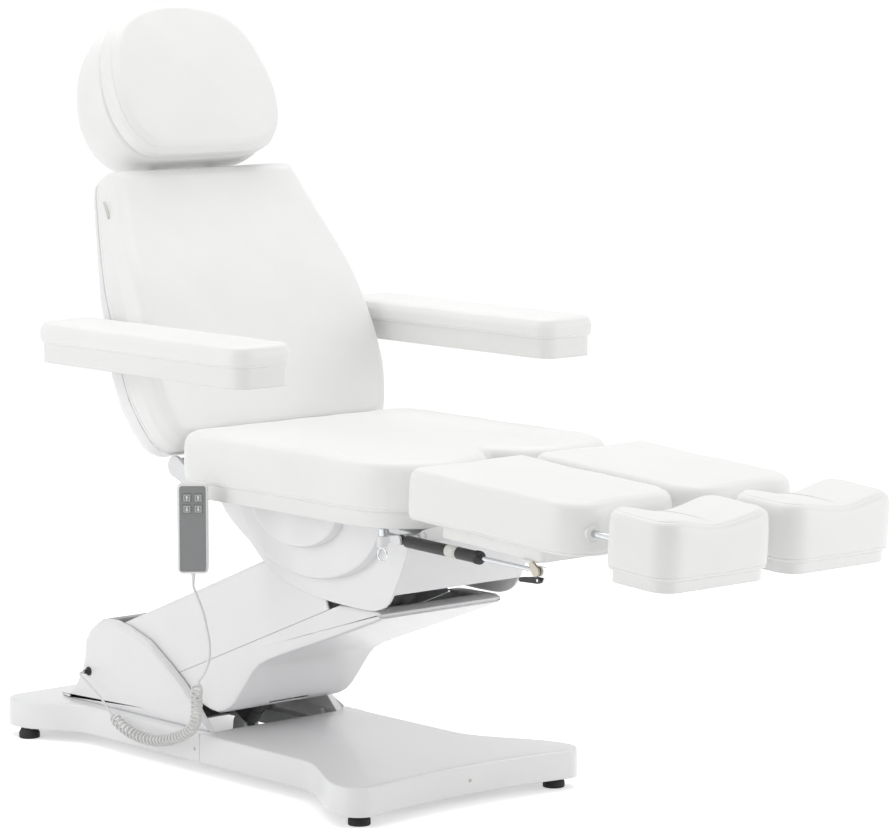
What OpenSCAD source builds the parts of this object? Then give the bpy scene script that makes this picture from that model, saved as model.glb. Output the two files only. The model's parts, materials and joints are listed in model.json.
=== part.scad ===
/* [Base] */
// Spacing of the feet across the chair
foot_track = 484; // [440:2:500]
// Spacing of the feet along the chair
foot_wheelbase = 1034; // [900:2:1160]
// Diameter of a rubber foot
foot_d = 42; // [30:1:50]
// Height of a rubber foot under the base
foot_h = 20; // [14:1:32]
// Width of the base at its two ends
base_end_w = 572; // [520:2:640]
// Width of the base at its narrow middle
base_waist_w = 388; // [370:2:430]
// Height of the base cover above the feet
base_h = 56; // [48:1:72]
// Height of the rear housing above the floor
housing_h = 254; // [235:1:275]
// Distance from the chair's middle back to the base's middle
base_back = 380; // [300:5:460]

/* [Lift arm] */
// Length between the lift arm's two pivots
arm_len = 645; // [600:1:680]
// Angle of the lift arm above level with the chair lowered
arm_angle = 22; // [18:0.5:26]
// Width of the lift arm's covers
arm_w = 300; // [280:2:310]
// Height of the lower pivot above the floor
lift_z = 165; // [150:1:180]
// Distance of the lower pivot behind the base's middle
lift_back = 290; // [270:1:310]
// Diameter of the pivot shafts
shaft_d = 25; // [20:1:32]

/* [Seat] */
// Width of the seat cushion
seat_w = 590; // [540:2:640]
// Length of the seat cushion from the back to the front lobes
seat_len = 664; // [620:2:700]
// Thickness of the seat cushion
seat_thick = 92; // [70:1:110]
// Height of the seat cushion's underside above the floor
seat_z = 590; // [586:1:600]
// Thickness of the board under the seat cushion
board_t = 30; // [20:1:34]

/* [Back and head] */
// Lean of the back from upright
back_lean = 26; // [20:1:32]
// Length of the back cushion
back_len = 570; // [520:2:620]
// Width of the back cushion at its widest
back_w = 594; // [540:2:598]
// Width of the head cushion
head_w = 400; // [340:2:440]
// Height of the head cushion
head_h = 320; // [280:2:350]

/* [Armrests] */
// Spacing of the armrests' middles
arm_track = 748; // [744:2:800]
// Width of an armrest
armrest_w = 140; // [110:2:142]
// Length of an armrest
armrest_len = 630; // [520:5:680]
// Thickness of an armrest's padding
armrest_pad_t = 42; // [30:1:60]
// Thickness of an armrest's board
armrest_board_t = 38; // [24:1:46]

/* [Leg rests] */
// Spacing of the leg rests' middles
leg_track = 300; // [294:2:320]
// Width of a leg cushion
leg_w = 276; // [240:2:280]
// Length of a leg cushion
leg_len = 432; // [380:2:480]
// Thickness of a leg cushion
leg_thick = 94; // [80:1:110]
// Droop of the leg rests below level
leg_pitch = 3; // [0:0.5:8]
// Width of a foot pad
foot_pad_w = 268; // [220:2:280]
// Length of a foot pad along the leg
foot_pad_len = 164; // [130:2:200]
// Gap between a leg cushion and its foot pad
foot_pad_gap = 58; // [54:1:90]
// Diameter of a foot pad's rods
rod_d = 12; // [8:0.5:14]

/* [Hand control] */
// Width of the hand control
handset_w = 58; // [48:1:66]
// Height of the hand control
handset_h = 170; // [140:1:180]
// Thickness of the hand control
handset_t = 24; // [18:1:30]
// Diameter of the hand control's cord
cord_d = 4.6; // [3.5:0.1:5]
// Diameter over the curls of the cord
curl_d = 24; // [18:0.5:28]
// Number of curls in the cord
curl_count = 36; // [20:1:60]

/* [Hidden] */

// Colours
white_shell = "#f1f2f2";
white_hide = "#f7f7f7";
painted_steel = "#e8e9ea";
bright_steel = "#c4c7ca";
black_part = "#1b1c1e";
grey_part = "#8e9194";
pale_cord = "#dcddde";

// Counts of facets: bores, small bores and the hulls' own rounds
bore_fn = 48;
small_fn = 24;
hull_fn = 32;

// Clearances: a turning fit, a soft piece beside its neighbour, a plain gap, and the overrun of a cut
fit = 0.05;
soft_gap = 0.5;
gap = 1;
over = 1;

// Base covers
cover_t = 3;
base_r = 40;
base_edge = 6;
base_split = 20;
base_reach = 560;
base_rear_reach = 586;
base_front_dip = 24;
base_rear_trim = 24;
flare_front = [290, 520];
flare_rear = [372, 528];
base_seam = 0.6;
base_lift = 2;
boss_d = 14;
boss_x = 200;

// Rear housing
cheek_in = 153;
cheek_out = 172;
cheek_edge = 9;
cheek_open = [48, 466];
housing_reach = 500;
housing_wall = 4;
// Outline of a cheek, as shares of the housing's rear reach and of its height over the base
cheek_shares = [
  [0.045, -0.1], [0.098, 0.14], [0.142, 0.27], [0.222, 0.46], [0.318, 0.64], [0.446, 0.85],
      [0.575, 0.955],
  [0.66, 1], [0.74, 0.99], [0.805, 0.87], [0.845, 0.72], [0.85, 0.55], [0.872, 0.36], [0.91, 0.2],
  [0.96, 0.06], [1, -0.1]
];
rear_rim_y = 369;
grommet_y = 408;
grommet_z = 142;
grommet_d = 18;
grommet_neck = 12;
grommet_len = 12;
cover_wall_d = 7;

// Base frame
tube_h = 30;
rail_x0 = 140;
rail_x1 = 170;
rail_end = 497;
bar_w = 40;
foot_bar_w = 30;
bar_half = 250;
drive_bar_half = 140;
upright_x0 = 156.5;
upright_x1 = 162.5;
upright_foot = 60;
upright_r = 26;
stud_d = 10;
lever_x0 = 38;
lever_x1 = 46;
lever_r = 24;
link_pin_half = 72;

// Control box in the rear of the base
box_w = 190;
box_y0 = 352;
box_y1 = 486;
box_h = 46;
inlet_w = 50;
inlet_h = 20;
inlet_z = 53;
inlet_deep = 10;
blade_w = 5;
blade_t = 1.6;

// Lift arm
plate_x0 = 93;
plate_x1 = 99;
plate_top = 22;
plate_foot = 60;
plate_from = 90;
plate_foot_from = 180;
plate_to = 560;
hub_d = 52;
hub_x0 = 88;
hub_x1 = 142;
arm_top = 91;
arm_seam = 47;
arm_belly = 150;
arm_nose = 775;
arm_edge = 9;
arm_open = 500;
arm_side_end = 640;
arm_cover_t = 3;
slot_half = 50;
slot_end = 275;
nose_open = 115;
// The lower cover's outline, as shares of the nose's reach and of the belly's depth
arm_lower_shares = [
  [0.142, 0.2], [0.142, 0.56], [0.21, 0.67], [0.246, 0.84], [0.297, 1], [0.355, 1], [0.4, 0.9],
  [0.452, 0.75], [0.506, 0.63], [0.6, 0.62], [0.76, 0.65], [0.982, 0.68], [1, 0.655], [1, 0.56],
      [0.814, 0.2]
];
link_rise = 60;
link_x0 = 56;
link_x1 = 68;
link_w = 22;
pin_d = 12;

// Lift drive
lift_drive_y = 120;
lift_drive_z = 60;
lift_drive_along = 420;
tube_d = 38;
motor_d = 62;
motor_len = 120;
motor_rise = 50;
tube_len = 240;
rod_d_lift = 20;
rod_back = 130;
eye_d = 34;
eye_t = 18;
eye_gap = 5;
head_t = 30;

// Carrier
tilt_rise = 93;
tilt_back = 8;
carrier_x0 = 74;
carrier_x1 = 82;
carrier_hub_x0 = 64;
carrier_hub_x1 = 90;
carrier_hub_d = 44;
axle_d = 20;
tilt_hub_d = 36;
tilt_hub_x0 = 60;
stub_x = 54;
tilt_anchor_y = -390;
tilt_anchor_z = 430;
tilt_lug_y = -60;
tilt_lug_z = 530;
tilt_drive_x = -34;

// Small drives under the seat
small_tube_d = 30;
small_motor_d = 40;
small_motor_len = 76;
small_rod_d = 12;
small_eye_d = 26;
small_eye_t = 14;
small_pin_d = 10;
small_head_t = 20;
small_back = 100;
tilt_tube_len = 240;
tilt_eye_gap = 2.5;
back_drive_x = 30;
back_drive_y = -440;
back_drive_z = 530;
back_lever_y = 25;
back_lever_z = -75;
back_tube_len = 330;
back_eye_gap = 6;
back_aim = -4.5;

// Seat
lobe_r = 147;
notch_r = 18;
lobe_steps = 10;
seat_corner_r = 60;
seat_crown = 12;
seat_edge = 16;
seat_pull = 3;
board_inset = 12;
rail_h = 30;
seat_rail_x0 = 105;
seat_rail_x1 = 130;
rail_front = -515;
rail_rear = -10;
front_bar_half = 192;
front_bar_y0 = -570;
rear_bar_half = 230;
rear_bar_y0 = -38;
flat_t = 14;
tilt_lug_x0 = 94;
tilt_lug_x1 = 102;
lug_r = 16;
hinge_y = 45;
hinge_z = 600;
hinge_x0 = 222;
hinge_x1 = 230;
hinge_r = 20;
hinge_pin_d = 16;
hinge_pin_in = 192;
seat_rear = -30;
king_d = 20;
king_nut_d = 34;
king_nut_h = 9;
swivel_t = 10;
swivel_y = -545;

// Mechanism cover, its outline as shares of its length and of its depth
fan_front = -557;
fan_rear = -8;
fan_depth = 182;
fan_in = 153;
fan_out = 158;
fan_wall_y = -490;
fan_cut_y = -489;
fan_cut_z = 520;
fan_clear = 0.3;
fan_shares = [
  [0, 0], [0, 0.16], [0.06, 0.335], [0.16, 0.52], [0.23, 0.69], [0.34, 0.85], [0.475, 0.95], [0.63, 0.99],
  [0.79, 1], [0.855, 0.97], [0.9, 0.89], [0.935, 0.72], [0.985, 0.42], [1, 0.28], [1, 0]
];
ring_y = -295;
ring_out = 181;
ring_r_y = 210;
ring_r_z = 138;
disc_y = -278;
disc_out = 203;
disc_r_y = 128;
disc_r_z = 79;
form_edge = 8;
fan_t = 3;

// Back, with outlines as shares of its length and width
back_foot = 22;
back_face = -8;
back_foam = 68;
back_bulge = 30;
back_high = 285;
back_swell = 270;
back_edge = 24;
back_crown = 8;
back_side_shares = [
  [0.4, 0], [0.8, 0], [0.875, 0.018], [0.925, 0.05], [0.965, 0.11], [1, 0.205], [0.996, 0.32],
      [0.967, 0.461],
  [0.94, 0.6], [0.875, 0.765], [0.82, 0.88], [0.79, 0.94], [0.755, 0.98], [0.7, 1], [0.35, 1]
];
// The shell's depth behind the cushion, at shares of the back's length
back_deep_shares = [[0, 0.9], [0.15, 1], [0.33, 1], [0.56, 0.72], [0.7, 0.54], [0.86, 0.44], [1, 0.4]];
back_deep = 58;
shell_wall = 4;
torque_d = 30;
torque_half = 218;
back_bar_w = 34;
back_bar_t = 12;
back_bar_x = 150;
socket_d = 34;
lever_t = 8;

// Armrests
pivot_y = 15;
pivot_z = 257;
armrest_z = 805;
armrest_front = -425;
armrest_r = 38;
armrest_inset = 7;
armrest_edge = 12;
armrest_crown = 3;
hub_disc_d = 64;
hub_disc_x0 = 297.5;
hub_disc_x1 = 303.5;
hub_pin_in = 200;
hub_pin_out = 380;
hub_pin_d = 24;

// Headrest
head_gap = 10;
head_y = -70;
head_foam = 50;
head_foot_r = 60;
head_rod_d = 14;
head_rod_x = 70;
head_rod_foot = 400;
head_socket_d = 20;
head_socket_foot = 380;
head_socket_top = 575;
head_bar_d = 18;
head_bar_half = 84;
head_pivot_y = 3;
head_pivot_z = 690;
// Rings of the headrest's body: share of its depth, its width, its height and its rise
head_rings_shares = [
  [0, 0.95, 0.97, 0], [0.03, 0.98, 0.99, 0], [0.1, 1, 1, 0], [0.3, 1, 0.97, 0],
  [0.5, 0.98, 0.92, -0.02], [0.7, 0.92, 0.82, -0.035], [0.88, 0.8, 0.66, -0.045], [1, 0.5, 0.4, -0.05]
];
head_deep = 140;

// Leg rests
leg_hinge_y = -665;
leg_hinge_z = 548;
leg_pin_d = 12;
leg_rear = -31;
leg_rise = 44;
leg_corner_r = 70;
leg_tail_r = 16;
leg_taper = 12;
leg_crown = 9;
leg_edge = 14;
leg_board_t = 28;
leg_board_half = 100;
leg_board_rear = -84;
leg_board_front = -350;
swivel_r = 34;
lug_in = [47, 53];
lug_out = [57, 63];
hinge_lug_r = 11.5;
rod_z = 87;
rod_spread = 90;
rod_inner = -300;
tube_od = 20;
tube_rear = -264;
slot_rear = -226;
web_t = 8;
escutcheon_d = 30;
escutcheon_t = 3;
gas_x = 96;
gas_rear = [25, -7];
gas_front = [-340, 0];
gas_tube_d = 22;
gas_rod_d = 8;
gas_tube_len = 215;
gas_eye_d = 18;
gas_eye_t = 8;
gas_pin_d = 8;
gas_lug = [101, 106];
gas_wing = 50;
gas_foot_t = 4;
gas_head_d = 18;
gas_head_len = 34;
gas_rod_back = 110;
lever_len = 44;
lever_w = 12;
lever_pin_d = 5;
plunger_x = 112;
plunger_y = 58;
plunger_d = 12;
plunger_h = 36;
ring_d = 24;
ring_wire = 3;
plunger_tube_d = 18;

// Foot pads
pad_base = 22;
pad_board_t = 20;
pad_thick = 104;
pad_board_inset = 9;
pad_r = 44;
pad_valley = 16;
pad_edge = 16;
pad_crown = 4;
post_w = 20;
post_len = 26;

// Hand control
handset_x = -338;
handset_y = -152;
handset_z = 515;
handset_turn = -40;
handset_r = 10;
keypad_margin = 4.5;
keypad_t = 1.2;
button_w = 15;
button_t = 5;
button_out = 1.6;
button_step = 21;
button_top = 66;
button_clear = 0.3;
clip_t = 4;
clip_w = 26;
clip_gap = 4;
clip_top = 72;
clip_len = 50;
hanger_t = 2.8;
hanger_z = 14;
hanger_len = 100;
relief_d = 9;
relief_len = 16;

// The cord's route, by hand: the lead under the hand control, the curls' middle line, the lead to the housing
upper_lead_points = [[-338, -152, 404], [-337, -164, 384], [-334, -176, 358], [-330, -181, 330],
    [-323, -181, 296],
  [-311, -163, 262], [-297, -130, 231]];
curl_points = [[-285, -98, 208], [-273, -74, 178], [-259, -56, 140], [-246, -28, 106], [-234, 30, 76],
  [-223, 110, 54], [-217, 180, 50], [-214, 240, 60], [-211, 285, 82]];
lower_lead_points = [[-208, 308, 97], [-206, 334, 112], [-205, 362, 126], [-203, 388, 137],
    [-198, 403, 141]];
spline_steps = 6;
lead_sides = 6;
lead_step = 11;
curl_sides = 6;
curl_rings = 8;
curl_ramp = 1.3;
cord_joint = 0.2;
end_straight = 6;

// Derived places
base_top = foot_h + base_lift + base_h;
upper_y = lift_back - arm_len * cos(arm_angle);
upper_z = lift_z + arm_len * sin(arm_angle);
tilt_y = upper_y + tilt_back;
tilt_z = upper_z + tilt_rise;
drive_tip = [lift_back - lift_drive_along * cos(arm_angle), lift_z + lift_drive_along * sin(arm_angle)];
lobe_x = seat_w / 2 - lobe_r;
notch_y = swivel_y - sqrt((lobe_r + notch_r) * (lobe_r + notch_r) - lobe_x * lobe_x);
notch_a = atan2(swivel_y - notch_y, lobe_x);
board_z = seat_z - board_t;
fan_top = board_z - gap - fan_clear;
hub_y = hinge_y + pivot_y * cos(back_lean) + pivot_z * sin(back_lean);
hub_z = hinge_z - pivot_y * sin(back_lean) + pivot_z * cos(back_lean);
head_foot = back_foot + back_len + head_gap;
leg_front = leg_rear - leg_len;
pad_rear = leg_front - foot_pad_gap;
cord_end = [-cheek_out - grommet_len, grommet_y, grommet_z];
cord_start = [handset_x, handset_y, handset_z - handset_h / 2 - relief_len];

// Functions
function unit(v) = v / norm(v);
function smooth(t) = let (c = min(1, max(0, t))) c * c * (3 - 2 * c);
function arc(centre, rx, ry, from, to, steps) = [
  for (i = [0 : steps]) let (a = from + (to - from) * i / steps) [centre.x + rx * cos(a),
      centre.y + ry * sin(a)]
];
function backwards(list) = [for (i = [len(list) - 1 : -1 : 0]) list[i]];
function both(half) = concat(half, [for (p = backwards(half)) if (p.x > 0) [-p.x, p.y]]);
function middle(list) = [
  for (axis = [0 : len(list[0]) - 1]) let (v = [for (p = list) p[axis]]) (min(v) + max(v)) / 2
];
// A plan's outward normal at each point, the points running anticlockwise
function normals(plan) = let (n = len(plan)) [
  for (i = [0 : n - 1]) let (d = plan[(i + 1) % n] - plan[(i + n - 1) % n]) unit([d.y, -d.x])
];
function inset(plan, by) = let (n = normals(plan)) [for (i = [0 : len(plan) - 1]) plan[i] - by * n[i]];
function ring(plan, by, z) = [for (p = inset(plan, by)) [p.x, p.y, z]];
function shrunk(plan, by, share, z) = let (m = middle(plan), q = inset(plan, by)) [
  for (p = q) [m.x + (p.x - m.x) * share, m.y + (p.y - m.y) * share, z]
];
function remap(rings, map) = [for (r = rings) [for (p = r) map(p)]];
// A cushion: a drawn-in foot, a full side, a rounded edge and a crown
crown_shares = [0.88, 0.66, 0.36];
function cushion_rings(plan, thick, edge, crown) = concat(
  [ring(plan, edge * 0.4, 0), ring(plan, edge * 0.05, edge * 0.5), ring(plan, 0, thick * 0.5),
    ring(plan, edge * 0.1, thick - edge), ring(plan, edge * 0.42, thick - edge * 0.35)],
  [for (s = crown_shares) shrunk(plan, edge, s == crown_shares[0] ? 1 : s, thick + crown * (1 - s * s))]
);
// A plan with four round corners, from the foot end's left corner round, each side drawn in at its middle
corner_steps = 5;
side_steps = 3;
function round_box(w, l, r_front, r_rear, pull) = let (
  arcs = [arc([w / 2 - r_front, -l + r_front], r_front, r_front, -90, 0, corner_steps),
    arc([w / 2 - r_rear, -r_rear], r_rear, r_rear, 0, 90, corner_steps),
    arc([-w / 2 + r_rear, -r_rear], r_rear, r_rear, 90, 180, corner_steps),
    arc([-w / 2 + r_front, -l + r_front], r_front, r_front, 180, 270, corner_steps)]
) [
  for (i = [0 : 3]) let (a = arcs[i][corner_steps], b = arcs[(i + 1) % 4][0],
      d = unit([b.y - a.y, a.x - b.x]))
    each concat(arcs[i], [for (k = [1 : side_steps - 1]) let (t = k / side_steps)
      a + (b - a) * t - d * pull * 4 * t * (1 - t)])
];
// A smooth curve through points
function knot(p, i) = p[min(len(p) - 1, max(0, i))];
function spline(p, steps) = concat([
  for (i = [0 : len(p) - 2], k = [0 : steps - 1]) let (
    t = k / steps, a = knot(p, i - 1), b = p[i], c = p[i + 1], d = knot(p, i + 2)
  ) ((2 * b) + (c - a) * t + (2 * a - 5 * b + 4 * c - d) * t * t
      + (3 * b - a - 3 * c + d) * t * t * t) / 2
], [p[len(p) - 1]]);
function lengths(p) = [for (i = 0,
    s = 0; i < len(p); s = s + (i < len(p) - 1 ? norm(p[i + 1] - p[i]) : 0), i = i + 1) s];
function tables(p, s) = [for (axis = [0 : 2]) [for (i = [0 : len(p) - 1]) [s[i], p[i][axis]]]];
function at(tab, s) = [lookup(s, tab[0]), lookup(s, tab[1]), lookup(s, tab[2])];
function evenly(p, step) = let (s = lengths(p), total = s[len(s) - 1], n = ceil(total / step),
    tab = tables(p, s))
  [for (i = [0 : n]) at(tab, total * i / n)];
function heading(p, i) = unit(knot(p, i + 1) - knot(p, i - 1));
// Rings of a tube along a path, carried without twist
function tube_rings(p, r, sides) = [
  for (i = 0, e = unit(cross(heading(p, 0), [1, 0, 0])); i < len(p);
    i = i + 1, e = i < len(p) ? unit(e - (e * heading(p, i)) * heading(p, i)) : e)
    let (d = heading(p, i), f = cross(d, e)) [for (k = [0 : sides - 1]) let (a = -360 * k / sides)
      p[i] + r * (e * cos(a) - f * sin(a))]
];
// The curls: a coil round a middle line, its ends drawn in to the line
function curl_path(line, count, r) = let (
  s = lengths(line), total = s[len(s) - 1], tab = tables(line, s), run = total - 2 * end_straight,
  steps = count * curl_rings
) concat([at(tab, cord_joint)], [
  for (i = [0 : steps]) let (
    here = end_straight + run * i / steps,
    c = at(tab, here),
    d = unit(at(tab, min(total, here + end_straight)) - at(tab, max(0, here - end_straight))),
    u = unit(cross(d, [1, 0, 0])),
    v = cross(d, u),
    grown = r * smooth(min(i, steps - i) / (curl_ramp * curl_rings)),
    a = 360 * i / curl_rings
  ) c + grown * (u * cos(a) + v * sin(a))
], [at(tab, total - cord_joint)]);

// Plans
function base_half(y) = let (f = y < 0 ? flare_front : flare_rear, trim = y < 0 ? 0 : base_rear_trim)
  base_waist_w / 2 + (base_end_w / 2 - trim - base_waist_w / 2) * smooth((abs(y) - f[0]) / (f[1] - f[0]));
flare_steps = 8;
outline_steps = 2;
base_front_plan = let (x1 = base_end_w / 2 - base_r) both(concat(
  [for (i = [0 : 3]) let (t = i / 4) [x1 * t, -base_reach + base_front_dip * (1 - t * t)]],
  arc([x1, -base_reach + base_r], base_r, base_r, -90, 0, corner_steps),
  [for (i = [1 : flare_steps]) let (y = -flare_front[1]
      + (flare_front[1] - flare_front[0]) * i / flare_steps)
    [base_half(y), y]],
  [[base_half(0), 0 - base_r], [base_half(0), base_split - base_seam / 2]]
));
base_rear_plan = let (x1 = base_end_w / 2 - base_rear_trim - base_r) both(concat(
  [[base_half(0), base_split + base_seam / 2], [base_half(0), base_split + base_r]],
  [for (i = [0 : flare_steps]) let (y = flare_rear[0] + (flare_rear[1] - flare_rear[0]) * i / flare_steps)
    [base_half(y), y]],
  arc([x1, base_rear_reach - base_r], base_r, base_r, 0, 90, corner_steps)
));
cheek_plan = let (z0 = base_top - cover_t / 2) backwards([
  for (s = cheek_shares) [s.x * housing_reach, z0 + max(0, s.y) * (housing_h - z0)]
]);
cheek_heart = [0.45 * housing_reach, 0.37 * housing_h];
arm_upper_plan = let (a = -asin((arm_seam + arm_edge) / arm_top)) concat(
  [[-arm_side_end, -arm_seam - arm_edge]], arc([0, 0], arm_top, arm_top, a, 90, 2 * corner_steps),
  [[-arm_open, arm_top], [-arm_side_end, arm_top]]
);
arm_lower_plan = backwards(spline([for (s = arm_lower_shares) [-s.x * arm_nose, -s.y * arm_belly]],
    outline_steps));
arm_lower_heart = [-0.49 * arm_nose, -0.4 * arm_belly];
seat_front_half = concat(
  arc([0, notch_y], notch_r, notch_r, 90, notch_a, 3),
  arc([lobe_x, swivel_y], lobe_r, lobe_r, notch_a - 180, 0, lobe_steps)
);
seat_plan = let (r = seat_corner_r, y1 = seat_rear - r, x1 = seat_w / 2) both(concat(
  seat_front_half,
  [for (k = [1 : side_steps - 1]) let (t = k / side_steps) [x1 - seat_pull * 4 * t * (1 - t),
      swivel_y + (y1 - swivel_y) * t]],
  arc([x1 - r, y1], r, r, 0, 90, corner_steps),
  [[(x1 - r) / 2, seat_rear]]
));
fan_plan = spline([for (s = fan_shares) [fan_rear + s.x * (fan_front - fan_rear),
    fan_top - s.y * fan_depth]], outline_steps);
back_plan = both([for (s = back_side_shares) [s.x * back_w / 2, back_foot + s.y * back_len]]);
head_side_shares = [
  [0.35, 0], [0.66, 0.012], [0.82, 0.07], [0.945, 0.19], [1, 0.37], [0.965, 0.56], [0.865, 0.745],
  [0.72, 0.865], [0.5, 0.95], [0.25, 0.99], [0, 1]
];
head_plan = both([for (s = head_side_shares) [s.x * head_w / 2, head_foot + s.y * head_h]]);
armrest_plan = round_box(armrest_w, armrest_len, armrest_r, armrest_r, 0);
leg_plan = [for (p = round_box(leg_w, leg_len, leg_corner_r, leg_tail_r, seat_pull))
  [p.x - (p.x > 0 ? leg_taper * p.x / leg_w * -p.y / leg_len : 0), p.y + leg_rear]];
pad_plan = [for (p = round_box(foot_pad_w, foot_pad_len, pad_r, pad_r, 0)) [p.x, p.y + pad_rear]];
head_map = function (p) [p.x, head_y - p.z, p.y];
back_map = function (p) [p.x, back_face - p.z * (1
    + back_bulge / back_foam * smooth(1 - abs(p.y - back_high) / back_swell)), p.y];
pad_map = function (p) [p.x, p.y,
    p.z - pad_valley * p.z / pad_thick * (1 - smooth(abs(p.x) / (foot_pad_w * 0.42)))];

// Placing
module in_chair() { translate([0, base_back, 0]) children(); }
module on_arm() { translate([0, lift_back, lift_z]) rotate([-arm_angle, 0, 0]) children(); }
module on_back() { translate([0, hinge_y, hinge_z]) rotate([-back_lean, 0, 0]) children(); }
module at_swivel(side) {
  translate([side * leg_track / 2, leg_hinge_y, leg_hinge_z]) {
    if (side < 0) mirror([1, 0, 0]) children();
    else children();
  }
}
module on_leg(side) { at_swivel(side) rotate([leg_pitch, 0, 0]) children(); }
module on_handset() { translate([handset_x, handset_y, handset_z]) rotate([0, 0, handset_turn])
    children(); }
module mirrored() {
  children();
  mirror([1, 0, 0]) children();
}

// Shapes
// A closed solid through rings of one count, each end closed round its middle or round a
// given heart, a point of the plan that sees the whole outline
module loft(rings, heart) {
  n = len(rings[0]);
  m = len(rings);
  middles = [for (r = [rings[0], rings[m - 1]])
    is_undef(heart) ? middle(r) : [heart.x, heart.y, r[0].z]];
  points = concat([for (r = rings) each r], middles);
  sides = [for (j = [0 : m - 2], i = [0 : n - 1]) let (a = j * n + i, b = j * n + (i + 1) % n)
    each [[a, a + n, b + n], [a, b + n, b]]];
  foot = [for (i = [0 : n - 1]) [i, (i + 1) % n, m * n]];
  head = [for (i = [0 : n - 1]) [(m - 1) * n + (i + 1) % n, (m - 1) * n + i, m * n + 1]];
  polyhedron(points, concat(sides, foot, head), convexity = 6);
}
module soft_top(plan, h, rim) {
  loft([ring(plan, 0, 0), ring(plan, 0, h - rim), ring(plan, rim * 0.3, h - rim * 0.3),
      ring(plan, rim, h)]);
}
module soft_prism(plan, h, rim, heart) {
  loft([ring(plan, rim, 0), ring(plan, rim * 0.3, rim * 0.3), ring(plan, 0, rim),
    ring(plan, 0, h - rim), ring(plan, rim * 0.3, h - rim * 0.3), ring(plan, rim, h)], heart);
}
// A side view [y, z] drawn across the chair between two widths
module across(from, to) { translate([from, 0, 0]) rotate([90, 0, 90]) linear_extrude(to - from)
    children(); }
// The hollow of a rounded cover, its corners stepped to keep the wall even
module hollow(plan, half, t, rim) {
  across(-half + rim - t, half - rim + t) offset(delta = -t) polygon(plan);
  across(-half, half) offset(delta = -rim - gap) polygon(plan);
}
module cross_bar(d, from, to, y, z) { translate([from, y, z]) rotate([0, 90, 0])
    cylinder(d = d, h = to - from, $fn = bore_fn); }
module dot(p, r) { translate(p) circle(r = r, $fn = hull_fn); }
module patch(y0, y1, z0, z1) { translate([y0, z0]) square([y1 - y0, z1 - z0]); }
module block(x0, x1, y0, y1, z0, z1) { translate([x0, y0, z0]) cube([x1 - x0, y1 - y0, z1 - z0]); }
module box_tube(x0, x1, y0, y1, z0, z1, wall) {
  difference() {
    block(x0, x1, y0, y1, z0, z1);
    block(x0 + wall, x1 - wall, y0 - over, y1 + over, z0 + wall, z1 - wall);
  }
}

// Base
module base_frame() in_chair() color(painted_steel) {
  z0 = foot_h;
  z1 = foot_h + tube_h;
  y0 = foot_wheelbase / 2 - bar_w / 2;
  difference() {
    union() {
      mirrored() {
        box_tube(rail_x0, rail_x1, -y0, y0, z0, z1, cover_t);
        across(upright_x0, upright_x1) hull() {
          patch(lift_back - upright_foot, lift_back + upright_foot, z1 - over, z1 + over);
          dot([lift_back, lift_z], upright_r);
        }
        across(lever_x0, lever_x1) hull() {
          dot([lift_back, lift_z], lever_r);
          dot([lift_back, lift_z + link_rise], pin_d);
        }
        across(eye_t / 2 + gap, eye_t / 2 + gap + lever_t) hull() {
          patch(lift_drive_y - bar_w / 2, lift_drive_y + bar_w / 2, z0, z0 + bar_w / 2);
          dot([lift_drive_y, lift_drive_z], eye_d / 2);
        }
      }
      for (y = [-y0 - foot_bar_w, y0]) block(-bar_half, bar_half, y, y + foot_bar_w, z0, z1);
      block(-drive_bar_half, drive_bar_half, lift_drive_y - bar_w / 2, lift_drive_y + bar_w / 2, z0,
          z0 + bar_w / 2);
      block(-drive_bar_half, drive_bar_half, box_y0, y0, z0, z0 + cover_t);
      cross_bar(shaft_d, -upright_x1, upright_x1, lift_back, lift_z);
      cross_bar(pin_d, -link_pin_half, link_pin_half, lift_back, lift_z + link_rise);
      cross_bar(pin_d, -eye_t / 2 - gap - lever_t, eye_t / 2 + gap + lever_t, lift_drive_y, lift_drive_z);
    }
    at_feet() translate([0, 0, foot_h - over]) cylinder(d = stud_d + 2 * fit, h = tube_h, $fn = bore_fn);
  }
}
module at_feet() for (x = [-1, 1], y = [-1, 1])
    translate([x * foot_track / 2, y * foot_wheelbase / 2, 0]) children();
module levelling_feet() in_chair() color(black_part) at_feet() {
  rotate_extrude($fn = bore_fn) polygon([
    [0, 0], [foot_d / 2 - gap, 0], [foot_d / 2, gap], [foot_d / 2, foot_h / 2],
        [foot_d / 2 - gap * 4, foot_h - gap],
    [foot_d / 2 - gap * 5, foot_h], [stud_d / 2, foot_h], [stud_d / 2, foot_h + tube_h / 2],
        [0, foot_h + tube_h / 2]
  ]);
}
module base_front_cover() in_chair() color(white_shell) {
  translate([0, 0, foot_h + base_lift]) difference() {
    soft_top(base_front_plan, base_h, base_edge);
    translate([0, 0, -over]) linear_extrude(base_h - cover_t + over) {
      offset(delta = -cover_t) polygon(base_front_plan);
      patch(-base_half(0) + cover_t, base_half(0) - cover_t, 0, base_split + over);
    }
  }
  for (y = [-base_reach * 0.7, -base_reach * 0.1]) mirrored()
      translate([(rail_x0 + rail_x1) / 2, y, foot_h + tube_h])
    cylinder(d = boss_d, h = base_h + base_lift - tube_h - cover_t, $fn = small_fn);
}
module cheek_hollow() {
  over_deck = base_top - cover_t;
  across(cheek_in + cover_t, cheek_out - cheek_edge) {
    offset(delta = -cover_t) polygon(cheek_plan);
    patch(cheek_open[0], cheek_open[1], over_deck - over, base_top + 2 * cover_t);
  }
  across(cheek_in + cover_t, cheek_out - cover_t) {
    offset(delta = -cheek_edge - gap) polygon(cheek_plan);
  }
}
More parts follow.
